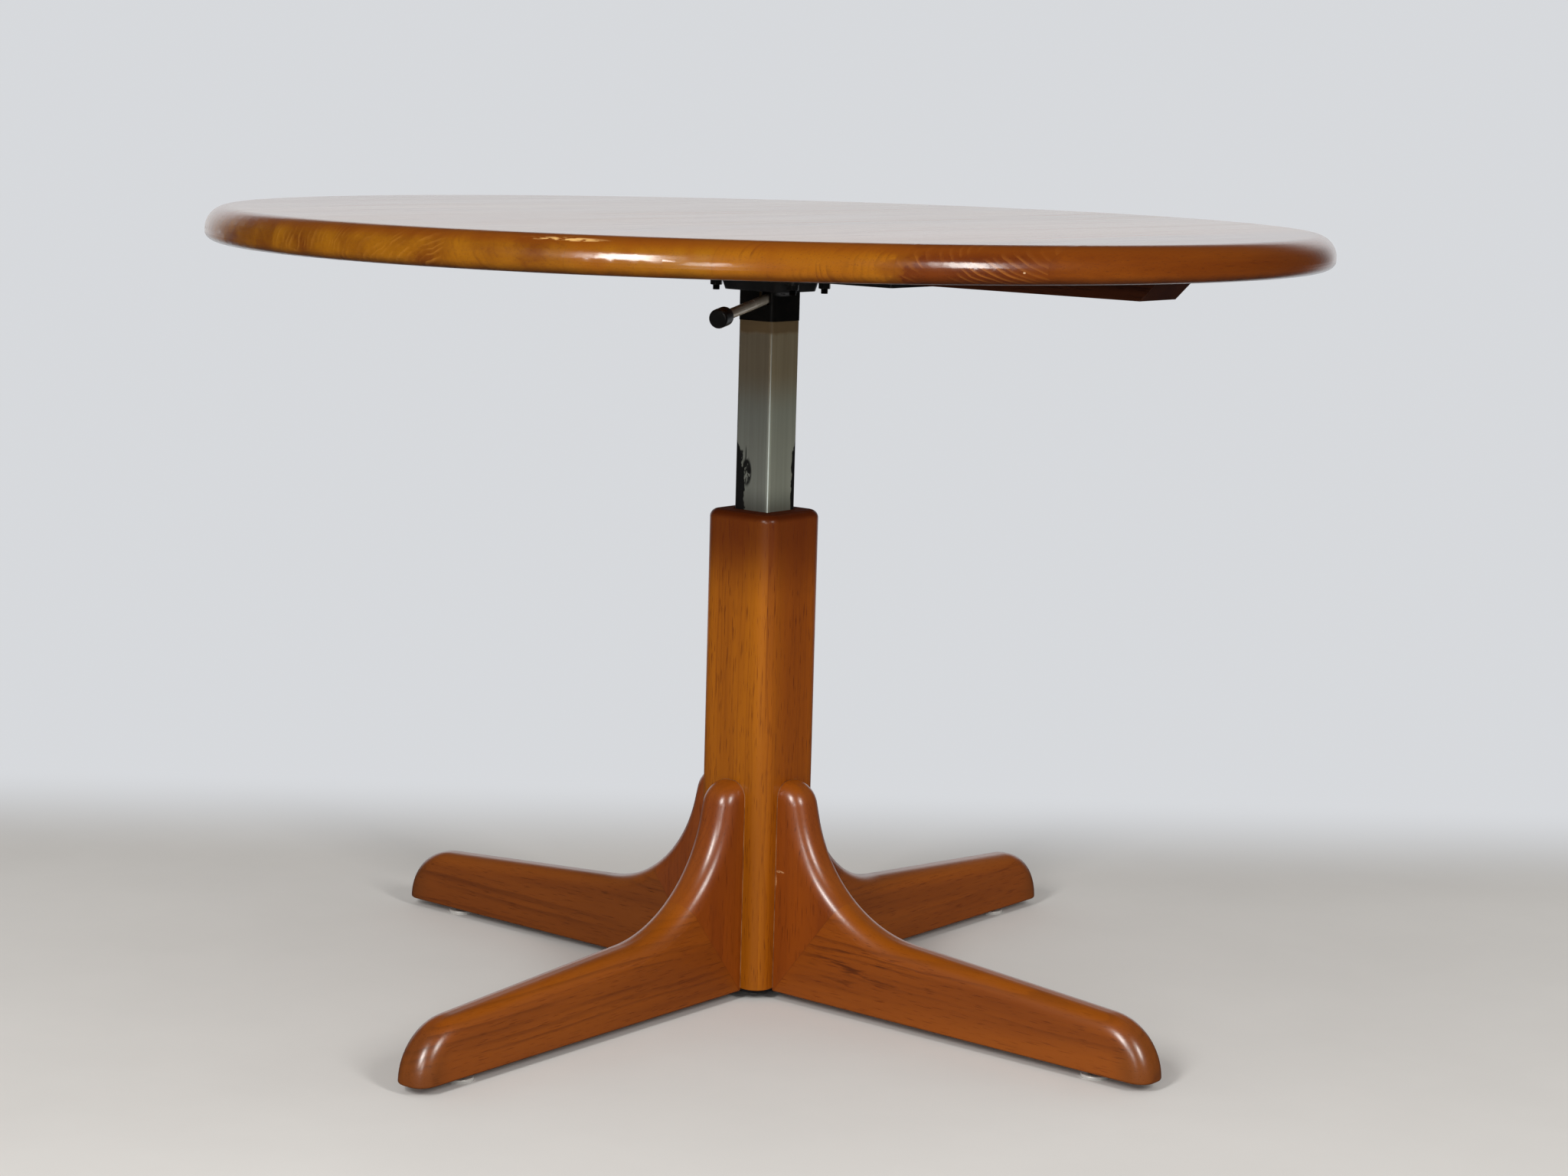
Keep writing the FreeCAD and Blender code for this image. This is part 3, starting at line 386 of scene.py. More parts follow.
GOLD = (0.272, 0.099, 0.002)
HONEY = (0.295, 0.100, 0.002)
AMBER = (0.230, 0.066, 0.002)
BROWN = (0.150, 0.040, 0.002)
CHESTNUT = (0.215, 0.053, 0.002)
RUSSET = (0.145, 0.030, 0.002)
UMBER = (0.095, 0.018, 0.002)
PALE_RING = (0.40, 0.165, 0.020)
RED_RING = (0.270, 0.085, 0.012)
DARK_RING = (0.11, 0.026, 0.003)

# for each board: light, dark and ring colours, the pith's place beside and above the
# board's middle, ring width, wander, ring strength and patch strength
TOP_BOARDS = [
    (AMBER, BROWN, DARK_RING, (0.06, -0.05), 0.0050, 0.020, 0.35, 0.4),
    (AMBER, BROWN, DARK_RING, (-0.05, -0.06), 0.0050, 0.020, 0.35, 0.4),
    (GOLD, BROWN, PALE_RING, (0.07, -0.04), 0.0045, 0.030, 0.35, 0.4),
    (GOLD, BROWN, DARK_RING, (-0.02, -0.05), 0.0060, 0.035, 0.40, 0.5),
    (GOLD, BROWN, PALE_RING, (0.10, -0.02), 0.0055, 0.030, 0.60, 0.5),
    (GOLD, BROWN, PALE_RING, (0.09, -0.09), 0.0060, 0.025, 0.70, 0.4),
    (GOLD, BROWN, DARK_RING, (0.08, 0.07), 0.0055, 0.025, 0.40, 0.5),
    (GOLD, AMBER, DARK_RING, (-0.06, -0.09), 0.0075, 0.020, 0.15, 0.6),
    (HONEY, AMBER, DARK_RING, (0.13, -0.01), 0.0045, 0.012, 0.60, 0.4),
    (RUSSET, UMBER, RED_RING, (0.14, 0.12), 0.0038, 0.010, 1.00, 0.3),
    (CHESTNUT, RUSSET, DARK_RING, (0.00, 0.12), 0.0050, 0.015, 0.20, 0.3),
]
TOP_SEED_STEP = 3.7
TOP_PITH_HEIGHT = 0.7  # height from which a board's pith is measured
RIM_LOW = 0.684
RIM_HIGH = 0.714
RIM_START = RIM_LOW + 0.001  # height at which the underside has turned into the rim
ARRIS = 0.0105  # reach of the painted shade on the rim's arrises
UNDERSIDE_SHADE = (0.060, 0.015, 0.003)
UPPER_ARRIS_SHADE = (0.20, 0.046, 0.002)
BOARD_GLUE = (0.10, 0.025, 0.004)
BLEED_GRAIN = (75.0, 6.0, 75.0)
FILM_FINE_GRAIN = (75.0, 2.6, 1.0)
FILM_BROAD_GRAIN = (11.0, 1.2, 1.0)

# marks on the rim: middle, reach, grain, amount, colour, softness and strength
TOP_MARKS = [
    ((0.184, -0.464, 0.7104), (0.044, 0.03, 0.0018), (90.0, 90.0, 600.0), 0.27,
     (0.85, 0.52, 0.18), 0.6, 0.8),
    ((0.441, -0.236, 0.694), (0.0014, 0.0014, 0.0009), (60.0, 60.0, 60.0), 0.60,
     (0.75, 0.50, 0.28), 0.5, 0.7),
]


def bleed(tree, place, tint, x, edge, neighbour):
    """Draws a board's colour towards its neighbour's, raggedly, close to their joint."""
    light, dark = neighbour[:2]
    shared = [0.6 * bright + 0.4 * deep for bright, deep in zip(light, dark)]
    ragged = tree.grain(place, BLEED_GRAIN, 3.0, 0.6)
    reach = tree.step(ragged, 0.30, 0.70, 0.001, 0.022)
    distance = tree.math("ABSOLUTE", tree.math("SUBTRACT", x, edge))
    share = tree.times(tree.step(distance, reach, 0.0), 0.5)
    return tree.mix(share, tint, shared)


def top_wood(number, low, high):
    """One board of the top: its figure, its glued edges, and painted shade on the underside and on
    the rim's arrises.
    """
    light, dark, ring, pith, ring_width, wander, ring_strength, patches = TOP_BOARDS[number - 1]
    middle = (low.x + high.x) / 2
    material, tree, place, figure = start_wood(
        "top_wood_%02d" % number, "Y", (middle + pith[0], 0.0, TOP_PITH_HEIGHT + pith[1]),
        TOP_SEED_STEP * number, light, dark, ring, ring_width, wander, ring_strength, 0.30,
        patches)
    tint = figure["Color"]
    x, _, z = tree.split(place)
    for edge, beside in ((low.x, number - 1), (high.x, number + 1)):
        if 1 <= beside <= len(TOP_BOARDS):
            tint = bleed(tree, place, tint, x, edge, TOP_BOARDS[beside - 1])
            tint = joint(tree, place, tint, (edge, 0.0, 0.0), (1.0, 0.0, 0.0), BOARD_GLUE, 0.15)
    # painted shade: the underside and the rim's lower arris darkened
    ragged = tree.times(tree.noise(place, 55.0, 3.0)["Fac"], 0.006)
    ragged = tree.times(ragged, tree.step(z, RIM_LOW, RIM_START))
    under = tree.times(tree.step(z, RIM_LOW, RIM_START, 0.6, 0.9),
                       tree.step(tree.plus(z, ragged), RIM_LOW + ARRIS, RIM_LOW + 0.0005))
    tint = tree.mix(under, tint, UNDERSIDE_SHADE)
    # painted shade: the rim's upper arris darkened
    over = tree.times(tree.step(z, RIM_HIGH - ARRIS, RIM_HIGH - 0.003),
                      tree.step(z, RIM_HIGH, RIM_HIGH - 0.0008))
    tint = tree.mix(tree.times(over, 0.7), tint, UPPER_ARRIS_SHADE)
    for spot in TOP_MARKS:
        tint = mark(tree, place, tint, *spot)
    # lacquer pulled along the boards, thick and thin
    drag = tree.grain(place, FILM_FINE_GRAIN, 3.0, 0.6)
    broad = tree.grain(place, FILM_BROAD_GRAIN)
    film = tree.plus(tree.step(drag, 0.34, 0.44, 0.0, 0.09),
                     tree.step(broad, 0.35, 0.65, 0.86, 0.91))
    film = tree.times(film, tree.step(z, RIM_LOW, RIM_START, 0.15, 1.0))
    lacquer(tree, tint, figure, 0.30, film, 0.17, ripple=0.01, sunk=0.02)
    return material


# ---- sleeve and legs -----------------------------------------------------------------

SLEEVE_FACE = 0.0395
MITRE_ANGLE = math.radians(52.0)
HEEL_HEIGHT = 0.008
LEG_DIRECTION = {"right": (1.0, 0.0), "back": (0.0, 1.0), "left": (-1.0, 0.0),
                 "front": (0.0, -1.0)}
SLEEVE_SEED = 11.3
UPRIGHT_SEED = 31.3
FOOT_SEED = 51.3
SEED_STEP = 2.9  # from one side to the next
SLEEVE_PITH = (0.12, -0.16, 0.0)
UPRIGHT_PITH = (0.21, -0.16, 0.0)
FOOT_PITH = (0.035, 0.035, -0.06)

# light, dark and ring colours
SLEEVE_WOOD = ((0.375, 0.113, 0.002), (0.25, 0.066, 0.002), (0.15, 0.031, 0.002))
UPRIGHT_WOOD = ((0.265, 0.055, 0.001), (0.190, 0.035, 0.001), (0.11, 0.018, 0.001))
FOOT_WOOD = ((0.290, 0.068, 0.001), (0.200, 0.042, 0.001), (0.090, 0.016, 0.001))
REDDER = (0.80, 0.64, 0.9)
SLEEVE_SHADE = (0.10, 0.014, 0.001)
SLEEVE_RIM_SHADE = (0.075, 0.013, 0.003)
SLEEVE_RIM_LOW = 0.4420  # height at which the painted shade on the sleeve's rim begins
LEG_GLUE = (0.08, 0.016, 0.003)
UPWARD_LIGHT_WOOD = (0.31, 0.080, 0.002)
TOE_WOOD = (0.115, 0.034, 0.004)
LEG_DUST = (0.55, 0.50, 0.44)
FOOT_SHADE = {"right": 1.06, "back": 1.08, "left": 0.80, "front": 0.98}
FOOT_FIGURE = {"right": 0.65, "back": 0.30, "left": 0.55, "front": 0.65}

# marks on the right leg: middle, reach, grain, amount, colour, softness and strength
LEG_MARKS = [
    ((0.0451, -0.0185, 0.1217), (0.006, 0.004, 0.0014), (300.0, 300.0, 900.0), 0.3,
     (0.55, 0.30, 0.14), 0.6, 1.0),
    ((0.0409, -0.0185, 0.1131), (0.0008, 0.004, 0.009), (900.0, 300.0, 200.0), 0.3,
     (0.50, 0.24, 0.10), 0.6, 1.0),
    ((0.135, -0.0185, 0.048), (0.080, 0.012, 0.026), (17.0, 60.0, 190.0), 0.19,
     (0.070, 0.012, 0.001), 0.7, 0.8),
]


def sleeve_wood(side, seed):
    """Sleeve board: golden towards the front and left, redder towards the right and back."""
    material, tree, place, figure = start_wood(
        "sleeve_wood_" + side, "Z", SLEEVE_PITH, seed, *SLEEVE_WOOD,
        ring_width=0.0032, wander=0.012, ring_strength=0.45, pore_strength=0.60,
        patch_strength=0.14)
    x, y, z = tree.split(place)
    redder = tree.step(tree.plus(x, y), -0.010, 0.030)
    tint = tree.mix(redder, figure["Color"], tree.mix(1.0, figure["Color"], REDDER, "MULTIPLY"))
    ragged = tree.times(tree.noise(place, 22.0, 2.0)["Fac"], 0.02)
    shaded = tree.step(tree.plus(z, ragged), 0.375, 0.440)
    share = tree.math("SUBTRACT", 0.76, tree.times(redder, 0.16))
    tint = tree.mix(tree.times(shaded, share), tint, SLEEVE_SHADE)
    # painted shade on the sleeve's upper rim, under the table top
    rim = tree.step(z, SLEEVE_RIM_LOW, 0.4475)
    tint = tree.mix(tree.times(rim, 0.85), tint, SLEEVE_RIM_SHADE)
    film = tree.step(z, SLEEVE_RIM_LOW, 0.4496, 0.6, 0.0)
    lacquer(tree, tint, figure, tree.step(z, 0.4490, 0.4498, 0.34, 0.85), film, 0.26)
    return material


def mitre_plane(side):
    """A point and the normal of the joint between a leg's upright and its foot."""
    along_x, along_y = LEG_DIRECTION[side]
    point = (SLEEVE_FACE * along_x, SLEEVE_FACE * along_y, HEEL_HEIGHT)
    sine, cosine = math.sin(MITRE_ANGLE), math.cos(MITRE_ANGLE)
    return point, (sine * along_x, sine * along_y, -cosine)


def leg_wood(name, side, grain, pith, seed, light, dark, ring, ring_width, ring_strength,
             patches):
    """Part of a leg: its figure, the mitre's glue line, marks, painted light on upward faces and a
    darker toe.
    """
    material, tree, place, figure = start_wood(
        name, grain, pith, seed, light, dark, ring, ring_width=ring_width, wander=0.016,
        ring_strength=ring_strength, pore_strength=0.5, patch_strength=patches)
    point, normal = mitre_plane(side)
    tint = joint(tree, place, figure["Color"], point, normal, LEG_GLUE, 0.35)
    for spot in LEG_MARKS:
        tint = mark(tree, place, tint, *spot)
    x, y, _ = tree.split(place)
    away = tree.vector("LENGTH", tree.join(x, y, 0.0))
    # painted light: faces that look up are made lighter and more golden, short of the toe
    _, _, up = tree.split(tree.add("ShaderNodeNewGeometry").outputs["Normal"])
    upward_light = tree.times(tree.step(up, 0.15, 0.85), tree.step(away, 0.43, 0.38))
    tint = tree.mix(tree.times(upward_light, 0.50), tint, UPWARD_LIGHT_WOOD)
    toe = tree.times(tree.step(away, 0.405, 0.436), 0.5)
    tint = tree.mix(toe, tint, TOE_WOOD)
    dust = tree.group(DUST_GROUP, {"Place": place, "Amount": 0.02})
    tint = tree.mix(dust["Mask"], tint, LEG_DUST)
    lacquer(tree, tint, figure, 0.40, 1.0, 0.29, gloss=1.75)
    return material


def batten_wood():
    """Dark wood along X, with its edges worn paler."""
    material, tree, place, figure = start_wood(
        "batten_wood", "X", (0.0, 0.10, 0.60), 71.0, (0.060, 0.014, 0.003),
        (0.036, 0.007, 0.002), (0.012, 0.003, 0.001), pore_strength=0.5)
    worn = tree.group(EDGE_GROUP, {"Place": place, "Width": 0.0012})
    tint = tree.mix(tree.times(worn["Mask"], 0.5), figure["Color"], (0.16, 0.075, 0.035))
    lacquer(tree, tint, figure, 0.45, 0.2, 0.35)
    return material


def beech_wood():
    """Pale wood without lacquer, for the dowels and the keys of the mitres."""
    material, tree, _, figure = start_wood(
        "dowel_beech", "X", (0.0, 0.0, 0.05), 91.0, (0.72, 0.55, 0.38), (0.6, 0.45, 0.3),
        (0.5, 0.36, 0.24))
    lacquer(tree, figure["Color"], figure, 0.55, 0.0, 0.3)
    return material


# ---- metal and plastic ---------------------------------------------------------------

EVEN_MOTTLE = (60.0, 60.0, 60.0)
PLAIN_BUMP = 0.15
WORN_METAL = (0.30, 0.29, 0.27)
PLAIN_DUST = (0.45, 0.42, 0.38)


def start_plain(name, light, dark, roughness, spread, scale, bump):
    """Mottled colour, uneven polish and fine relief for metal, paint or plastic."""
    material, tree = new_material(name)
    place = tree.place()
    stretched = tree.vector("MULTIPLY", place, scale)
    cloud = tree.noise(stretched, 1.0, 4.0, 0.6)["Fac"]
    tint = tree.mix(tree.step(cloud, 0.3, 0.7), dark, light)
    fine = tree.noise(tree.vector("MULTIPLY", stretched, (9.0, 9.0, 9.0)), 1.0, 2.0)["Fac"]
    relief = tree.add("ShaderNodeBump", {"Strength": bump, "Distance": RELIEF_DEPTH,
                                         "Height": fine})
    rough = tree.plus(tree.times(cloud, spread), roughness - spread / 2)
    return material, tree, place, tint, rough, relief.outputs[0]


def plain_finish(name, light, dark, metallic, roughness, spread=0.12, coat=0.0, wear=0.0,
                 specular=0.5):
    """Metal, paint or plastic, with edges worn to another colour where wear isn't zero."""
    material, tree, place, tint, rough, relief = start_plain(
        name, light, dark, roughness, spread, EVEN_MOTTLE, PLAIN_BUMP)
    if wear > 0.0:
        worn = tree.group(EDGE_GROUP, {"Place": place, "Width": 0.0006})
        tint = tree.mix(tree.times(worn["Mask"], wear), tint, WORN_METAL)
    dust = tree.group(DUST_GROUP, {"Place": place, "Amount": 0.10})
    tint = tree.mix(dust["Mask"], tint, PLAIN_DUST)
    tree.surface({
        "Base Color": tint, "Metallic": metallic, "Roughness": rough, "Normal": relief,
        "Coat Weight": coat, "Specular IOR Level": specular})
    return material


TUBE_FACE = 0.020  # half of the tube's width
TOP_SHADE_HEIGHTS = (0.535, 0.580)  # between them, upwards, the tube's colour turns warmer and darker: painted shade under the top
MOUTH_SHADE_HEIGHTS = (0.474, 0.451)  # between them, downwards, painted shade darkens the tube towards the sleeve's mouth
ADHESIVE_HEIGHTS = (0.6115, 0.6155)  # between them old adhesive comes up
GREASE_HEIGHTS = (0.516, 0.498)  # between them, downwards, grease spreads
CREEP_GRAIN = (260.0, 260.0, 90.0)
SMEAR_GRAIN = (330.0, 330.0, 130.0)

# smears of grease on the front face: middle, reach and amount
SMEARS = [
    ((-0.0056, -0.020, 0.4845), (0.0070, 0.008, 0.0155), 0.39),
    ((-0.0068, -0.020, 0.4990), (0.0007, 0.008, 0.0110), 0.60),
]


def grease_mask(tree, place, x, y, z):
    """Grease low on the tube, round two of its corners and in two smears."""
    sway = tree.step(tree.grain(place, CREEP_GRAIN, 4.0, 0.7), 0.3, 0.7, 0.75, 1.25)

    def within(distance, reach):
        return tree.math("LESS_THAN", distance, tree.times(reach, sway))

    left_reach = tree.plus(tree.step(z, 0.514, 0.500, 0.0020, 0.0095),
                           tree.step(z, 0.500, 0.455, 0.0, 0.0030))
    right_reach = tree.step(z, *GREASE_HEIGHTS, 0.0018, 0.0066)
    corner_reach = tree.step(z, *GREASE_HEIGHTS, 0.0020, 0.0110)
    left = tree.times(within(tree.plus(x, TUBE_FACE), left_reach),
                      within(tree.plus(y, TUBE_FACE), corner_reach))
    right = tree.times(within(tree.math("SUBTRACT", TUBE_FACE, y), right_reach),
                       within(tree.math("SUBTRACT", TUBE_FACE, x), corner_reach))
    grease = tree.math("MAXIMUM", left, right)
    for middle, reach, amount in SMEARS:
        spot = tree.group(PATCH_GROUP, {"Place": place, "Middle": middle, "Reach": reach,
                                        "Grain": SMEAR_GRAIN, "Amount": amount,
                                        "Softness": 0.35})
        grease = tree.math("MAXIMUM", grease, spot["Mask"])
    return grease


def tube_finish():
    """Drawn steel: fine lengthwise lines, old adhesive at the top, grease low down."""
    material, tree, place, tint, rough, relief = start_plain(
        "tube_steel", (0.285, 0.275, 0.210), (0.245, 0.235, 0.178), 0.36, 0.10,
        (260.0, 260.0, 5.0), 0.12)
    x, y, z = tree.split(place)
    # painted shade: warmer and darker above, under the table top, over the tube's bluer grey below
    top_shade_tint = tree.mix(tree.step(z, *TOP_SHADE_HEIGHTS), (1.14, 1.25, 1.45), (1.08, 0.93, 0.84))
    tint = tree.mix(1.0, tint, top_shade_tint, "MULTIPLY")
    # painted light: the tube's right face made lighter
    right_face_light = tree.times(tree.step(x, 0.0188, 0.0198), 0.8)
    tint = tree.mix(right_face_light, tint, tree.mix(1.0, tint, (1.50, 1.52, 1.40), "MULTIPLY"))
    # painted shade: the tube darkens just above the sleeve's mouth
    mouth_shade = tree.times(tree.step(z, *MOUTH_SHADE_HEIGHTS), 0.35)
    tint = tree.mix(mouth_shade, tint, (0.02, 0.018, 0.015))
    ragged = tree.times(tree.noise(place, 70.0, 4.0, 0.6)["Fac"], 0.006)
    glue = tree.times(tree.step(tree.plus(z, ragged), *ADHESIVE_HEIGHTS), 0.85)
    tint = tree.mix(glue, tint, (0.130, 0.076, 0.020))
    grease = grease_mask(tree, place, x, y, z)
    tint = tree.mix(grease, tint, (0.007, 0.007, 0.007))
    metal = tree.times(tree.math("SUBTRACT", 1.0, tree.math("MAXIMUM", grease, glue)), 0.5)
    rough = tree.plus(rough, tree.times(glue, 0.25))
    # bright lines along the corners: worn steel, with a painted highlight that fades out higher up
    # in the top's shade
    nearest = tree.math("MINIMUM", tree.math("ABSOLUTE", x), tree.math("ABSOLUTE", y))
    corner = tree.times(tree.step(nearest, 0.01830, 0.01865), tree.step(z, 0.62, 0.50, 0.22, 1.0))
    corner = tree.times(corner, tree.times(metal, 2.0))
    tint = tree.mix(corner, tint, (0.84, 0.94, 0.88))
    rough = tree.math("SUBTRACT", rough, tree.times(corner, 0.12))
    metal = tree.math("SUBTRACT", metal, tree.times(corner, 0.35))
    tree.surface({"Base Color": tint, "Metallic": metal, "Roughness": rough, "Normal": relief})
    return material


def sheath_finish():
    """Thin black plastic, with a painted grey reflection just under the dish."""
    material, tree, place, tint, rough, relief = start_plain(
        "black_sheath", (0.007, 0.006, 0.005), (0.003, 0.003, 0.003), 0.42, 0.12,
        EVEN_MOTTLE, PLAIN_BUMP)
    # painted reflection: a grey patch on the right face just under the dish
    tint = mark(tree, place, tint, (0.0205, -0.004, 0.6462), (0.004, 0.016, 0.0028),
                (120.0, 120.0, 400.0), 0.42, (0.085, 0.085, 0.09), 0.6)
    tree.surface({"Base Color": tint, "Roughness": rough, "Normal": relief,
                  "Specular IOR Level": 0.25})
    return material


def thread_finish(name, light, dark, pitch):
    """Blackened steel with a screw thread's ridges as relief."""
    material, tree, place, tint, rough, _ = start_plain(
        name, light, dark, 0.36, 0.12, (80.0, 80.0, 80.0), 0.1)
    _, _, z = tree.split(place)
    ridge = tree.math("PINGPONG", z, pitch / 2)
    relief = tree.add("ShaderNodeBump", {"Strength": 1.0, "Distance": 0.6, "Height": ridge})
    tree.surface({"Base Color": tint, "Metallic": 1.0, "Roughness": rough,
                  "Normal": relief.outputs[0]})
    return material


# ---- light and floor -----------------------------------------------------------------

BACKDROP = (0.68, 0.695, 0.72)
SIGHT = (-0.63, 0.776)  # level direction in which the camera looks
ACROSS = (0.776, 0.63)  # level direction to the camera's right
AMBIENT = 0.40
LIT_TINT = (1.0, 0.985, 0.96)
MIRRORED_TINT = (0.93, 0.94, 0.96)
LAMP_TINT = (1.0, 0.98, 0.95)
FLOOR_DARK = (0.70, 0.69, 0.675)
FLOOR_LIGHT = (0.80, 0.79, 0.775)
FLOOR_RADIUS = 14.0
FLOOR_CORNERS = 96

# name, place, aim, width, height and power
LAMPS = [
    ("lamp_left", (0.60, -2.67, 1.74), (0.0, 0.0, 0.5), 0.46, 0.95, 46.0),
    ("lamp_right", (2.63, -0.68, 1.68), (0.0, 0.0, 0.5), 0.40, 0.95, 31.0),
    ("lamp_low", (1.50, -2.72, 0.92), (0.0, 0.0, 0.6), 0.26, 0.50, 8.0),
]


def toward(tree, x, y, direction):
    """How far a place lies along a level direction."""
    return tree.plus(tree.times(x, direction[0]), tree.times(y, direction[1]))


def build_world():
    """Pale for the eye; reflections see a pale low band behind and a dim room elsewhere."""
    world = bpy.data.worlds.new("studio")
    bpy.context.scene.world = world
    world.use_nodes = True
    tree = Tree(world.node_tree)
    ray = tree.add("ShaderNodeLightPath").outputs
    seen = tree.math("MAXIMUM", ray["Is Camera Ray"], ray["Is Transmission Ray"])
    direction = tree.add("ShaderNodeTexCoord").outputs["Generated"]
    x, y, z = tree.split(direction)
    behind = toward(tree, x, y, SIGHT)
    across = toward(tree, x, y, ACROSS)
    wall = tree.times(tree.step(behind, 0.66, 0.94), tree.step(z, 0.42, 0.24))
    wall = tree.times(wall, tree.step(across, 0.68, 0.30))
    level = tree.plus(tree.times(wall, 0.87), 0.02)
    lit = tree.add("ShaderNodeBackground", {"Color": LIT_TINT, "Strength": AMBIENT})
    shown = tree.add("ShaderNodeBackground", {"Color": BACKDROP, "Strength": 1.0})
    mirrored = tree.add("ShaderNodeBackground", {"Color": MIRRORED_TINT,
                                                 "Strength": level})
    first = tree.add("ShaderNodeMixShader", {0: ray["Is Glossy Ray"], 1: lit.outputs[0],
                                             2: mirrored.outputs[0]})
    last = tree.add("ShaderNodeMixShader", {0: seen, 1: first.outputs[0], 2: shown.outputs[0]})
    tree.add("ShaderNodeOutputWorld", {"Surface": last.outputs[0]})


def build_floor():
    """Wide pale disc that takes the table's shadow and fades into the backdrop behind it."""
    mesh = bpy.data.meshes.new("floor")
    points = []
    for corner in range(FLOOR_CORNERS):
        angle = 2 * math.pi * corner / FLOOR_CORNERS
        points.append((FLOOR_RADIUS * math.cos(angle), FLOOR_RADIUS * math.sin(angle), 0.0))
    mesh.from_pydata(points, [], [list(range(FLOOR_CORNERS))])
    floor = add_object("floor", mesh)
    material, tree = new_material("pale_floor")
    place = tree.place()
    x, y, _ = tree.split(place)
    behind = toward(tree, x, y, SIGHT)
    away = tree.vector("LENGTH", place)
    fade = tree.math("MAXIMUM", tree.step(behind, 0.42, 0.85), tree.step(away, 1.15, 2.2))
    mottle = tree.noise(place, 3.0, 5.0, 0.6)["Fac"]
    tint = tree.mix(mottle, FLOOR_DARK, FLOOR_LIGHT)
    matt = tree.add("ShaderNodeBsdfDiffuse", {"Color": tint})
    glow = tree.add("ShaderNodeEmission", {"Color": BACKDROP, "Strength": 1.0})
    far = tree.times(tree.step(behind, 1.0, 1.8),
                     tree.step(tree.math("DIVIDE", behind, away), 0.62, 0.92, 0.0, 0.96))
    mirrored = tree.add("ShaderNodeEmission", {"Color": BACKDROP,
                                               "Strength": tree.plus(far, 0.04)})
    ray = tree.add("ShaderNodeLightPath").outputs
    seen = tree.times(fade, ray["Is Camera Ray"])
    both = tree.add("ShaderNodeMixShader", {0: seen, 1: matt.outputs[0], 2: glow.outputs[0]})
    last = tree.add("ShaderNodeMixShader", {0: ray["Is Glossy Ray"], 1: both.outputs[0],
                                            2: mirrored.outputs[0]})
    tree.add("ShaderNodeOutputMaterial", {"Surface": last.outputs[0]})
    mesh.materials.append(material)


def build_lamp(name, place, aim, width, height, power):
    """Rectangular lamp that looks from a place at an aim."""
    data = bpy.data.lights.new(name, "AREA")
    data.shape = "RECTANGLE"
    data.size = width
    data.size_y = height
    data.energy = power
    data.color = LAMP_TINT
    lamp = add_object(name, data)
    place = Vector(place)
    turn = (Vector(aim) - place).to_track_quat("-Z", "Y")
    lamp.matrix_world = Matrix.Translation(place) @ turn.to_matrix().to_4x4()


# ---- pieces that repeat --------------------------------------------------------------

SCREW_HEAD_RADIUS = 0.004
SCREW_HEAD_HEIGHT = 0.0024
SCREW_SHANK_RADIUS = 0.002
SCREW_POINT_RADIUS = 0.0002
RECESS_WIDTH = 0.0011
RECESS_DEPTH = 0.0013
THREAD_PITCH = 0.001
THREAD_RADIUS = 0.00295
THREAD_RIDGE = 0.0003
THREAD_HEIGHT = 0.0036
THREAD_START = 0.0004  # above the stud's lower end
GLUE_BEAD_RADIUS = 0.00035
GLUE_BEAD_STEP = 0.0015
GLUE_STANDOFF = 0.0001  # from the sleeve's face


def island_boxes(node, gap=0.006):
    """Lowest and highest corners of each separate solid of a CAD node, grouped in plan."""
    boxes = []
    for vertex in nodes[node].data.vertices:
        point = vertex.co
        for low, high in boxes:
            inside_x = low.x - gap < point.x < high.x + gap
            inside_y = low.y - gap < point.y < high.y + gap
            if inside_x and inside_y:
                for axis in range(3):
                    low[axis] = min(low[axis], point[axis])
                    high[axis] = max(high[axis], point[axis])
                break
        else:
            boxes.append((point.copy(), point.copy()))
    return boxes


def carrier_mesh(name, points, links=()):
    """Object of bare points and links for a geometry tree to grow on."""
    mesh = bpy.data.meshes.new(name)
    mesh.from_pydata(points, list(links), [])
    return add_object(name, mesh)


def new_geometry_tree(name, sizes):
    """Geometry node tree with float inputs for its sizes and a material input."""
    given = [("Geometry", "Geometry"), *((size, "Float") for size in sizes),
             ("Finish", "Material")]
    return new_group(name, given, [("Geometry", "Geometry")], "GeometryNodeTree")


def finish_geometry(tree, given, leave, geometry):
    """Puts geometry out as real faces that carry the given finish."""
    real = tree.add("GeometryNodeRealizeInstances", {0: geometry})
    dressed = tree.add("GeometryNodeSetMaterial", {"Geometry": real.outputs[0],
                                                   "Material": given["Finish"]})
    tree.feed(leave.inputs[0], dressed.outputs[0])


def grow(carrier, group, values, name):
    """Runs a geometry tree on a carrier and gives the result as a plain mesh object."""
    modifier = carrier.modifiers.new("grow", "NODES")
    modifier.node_group = group
    for item in group.interface.items_tree:
        if item.in_out == "INPUT" and item.name in values:
            modifier[item.identifier] = values[item.name]
    graph = bpy.context.evaluated_depsgraph_get()
    mesh = bpy.data.meshes.new_from_object(carrier.evaluated_get(graph))
    mesh.name = name
    carrier.modifiers.remove(modifier)
    bpy.data.objects.remove(carrier)
    return add_object(name, mesh)


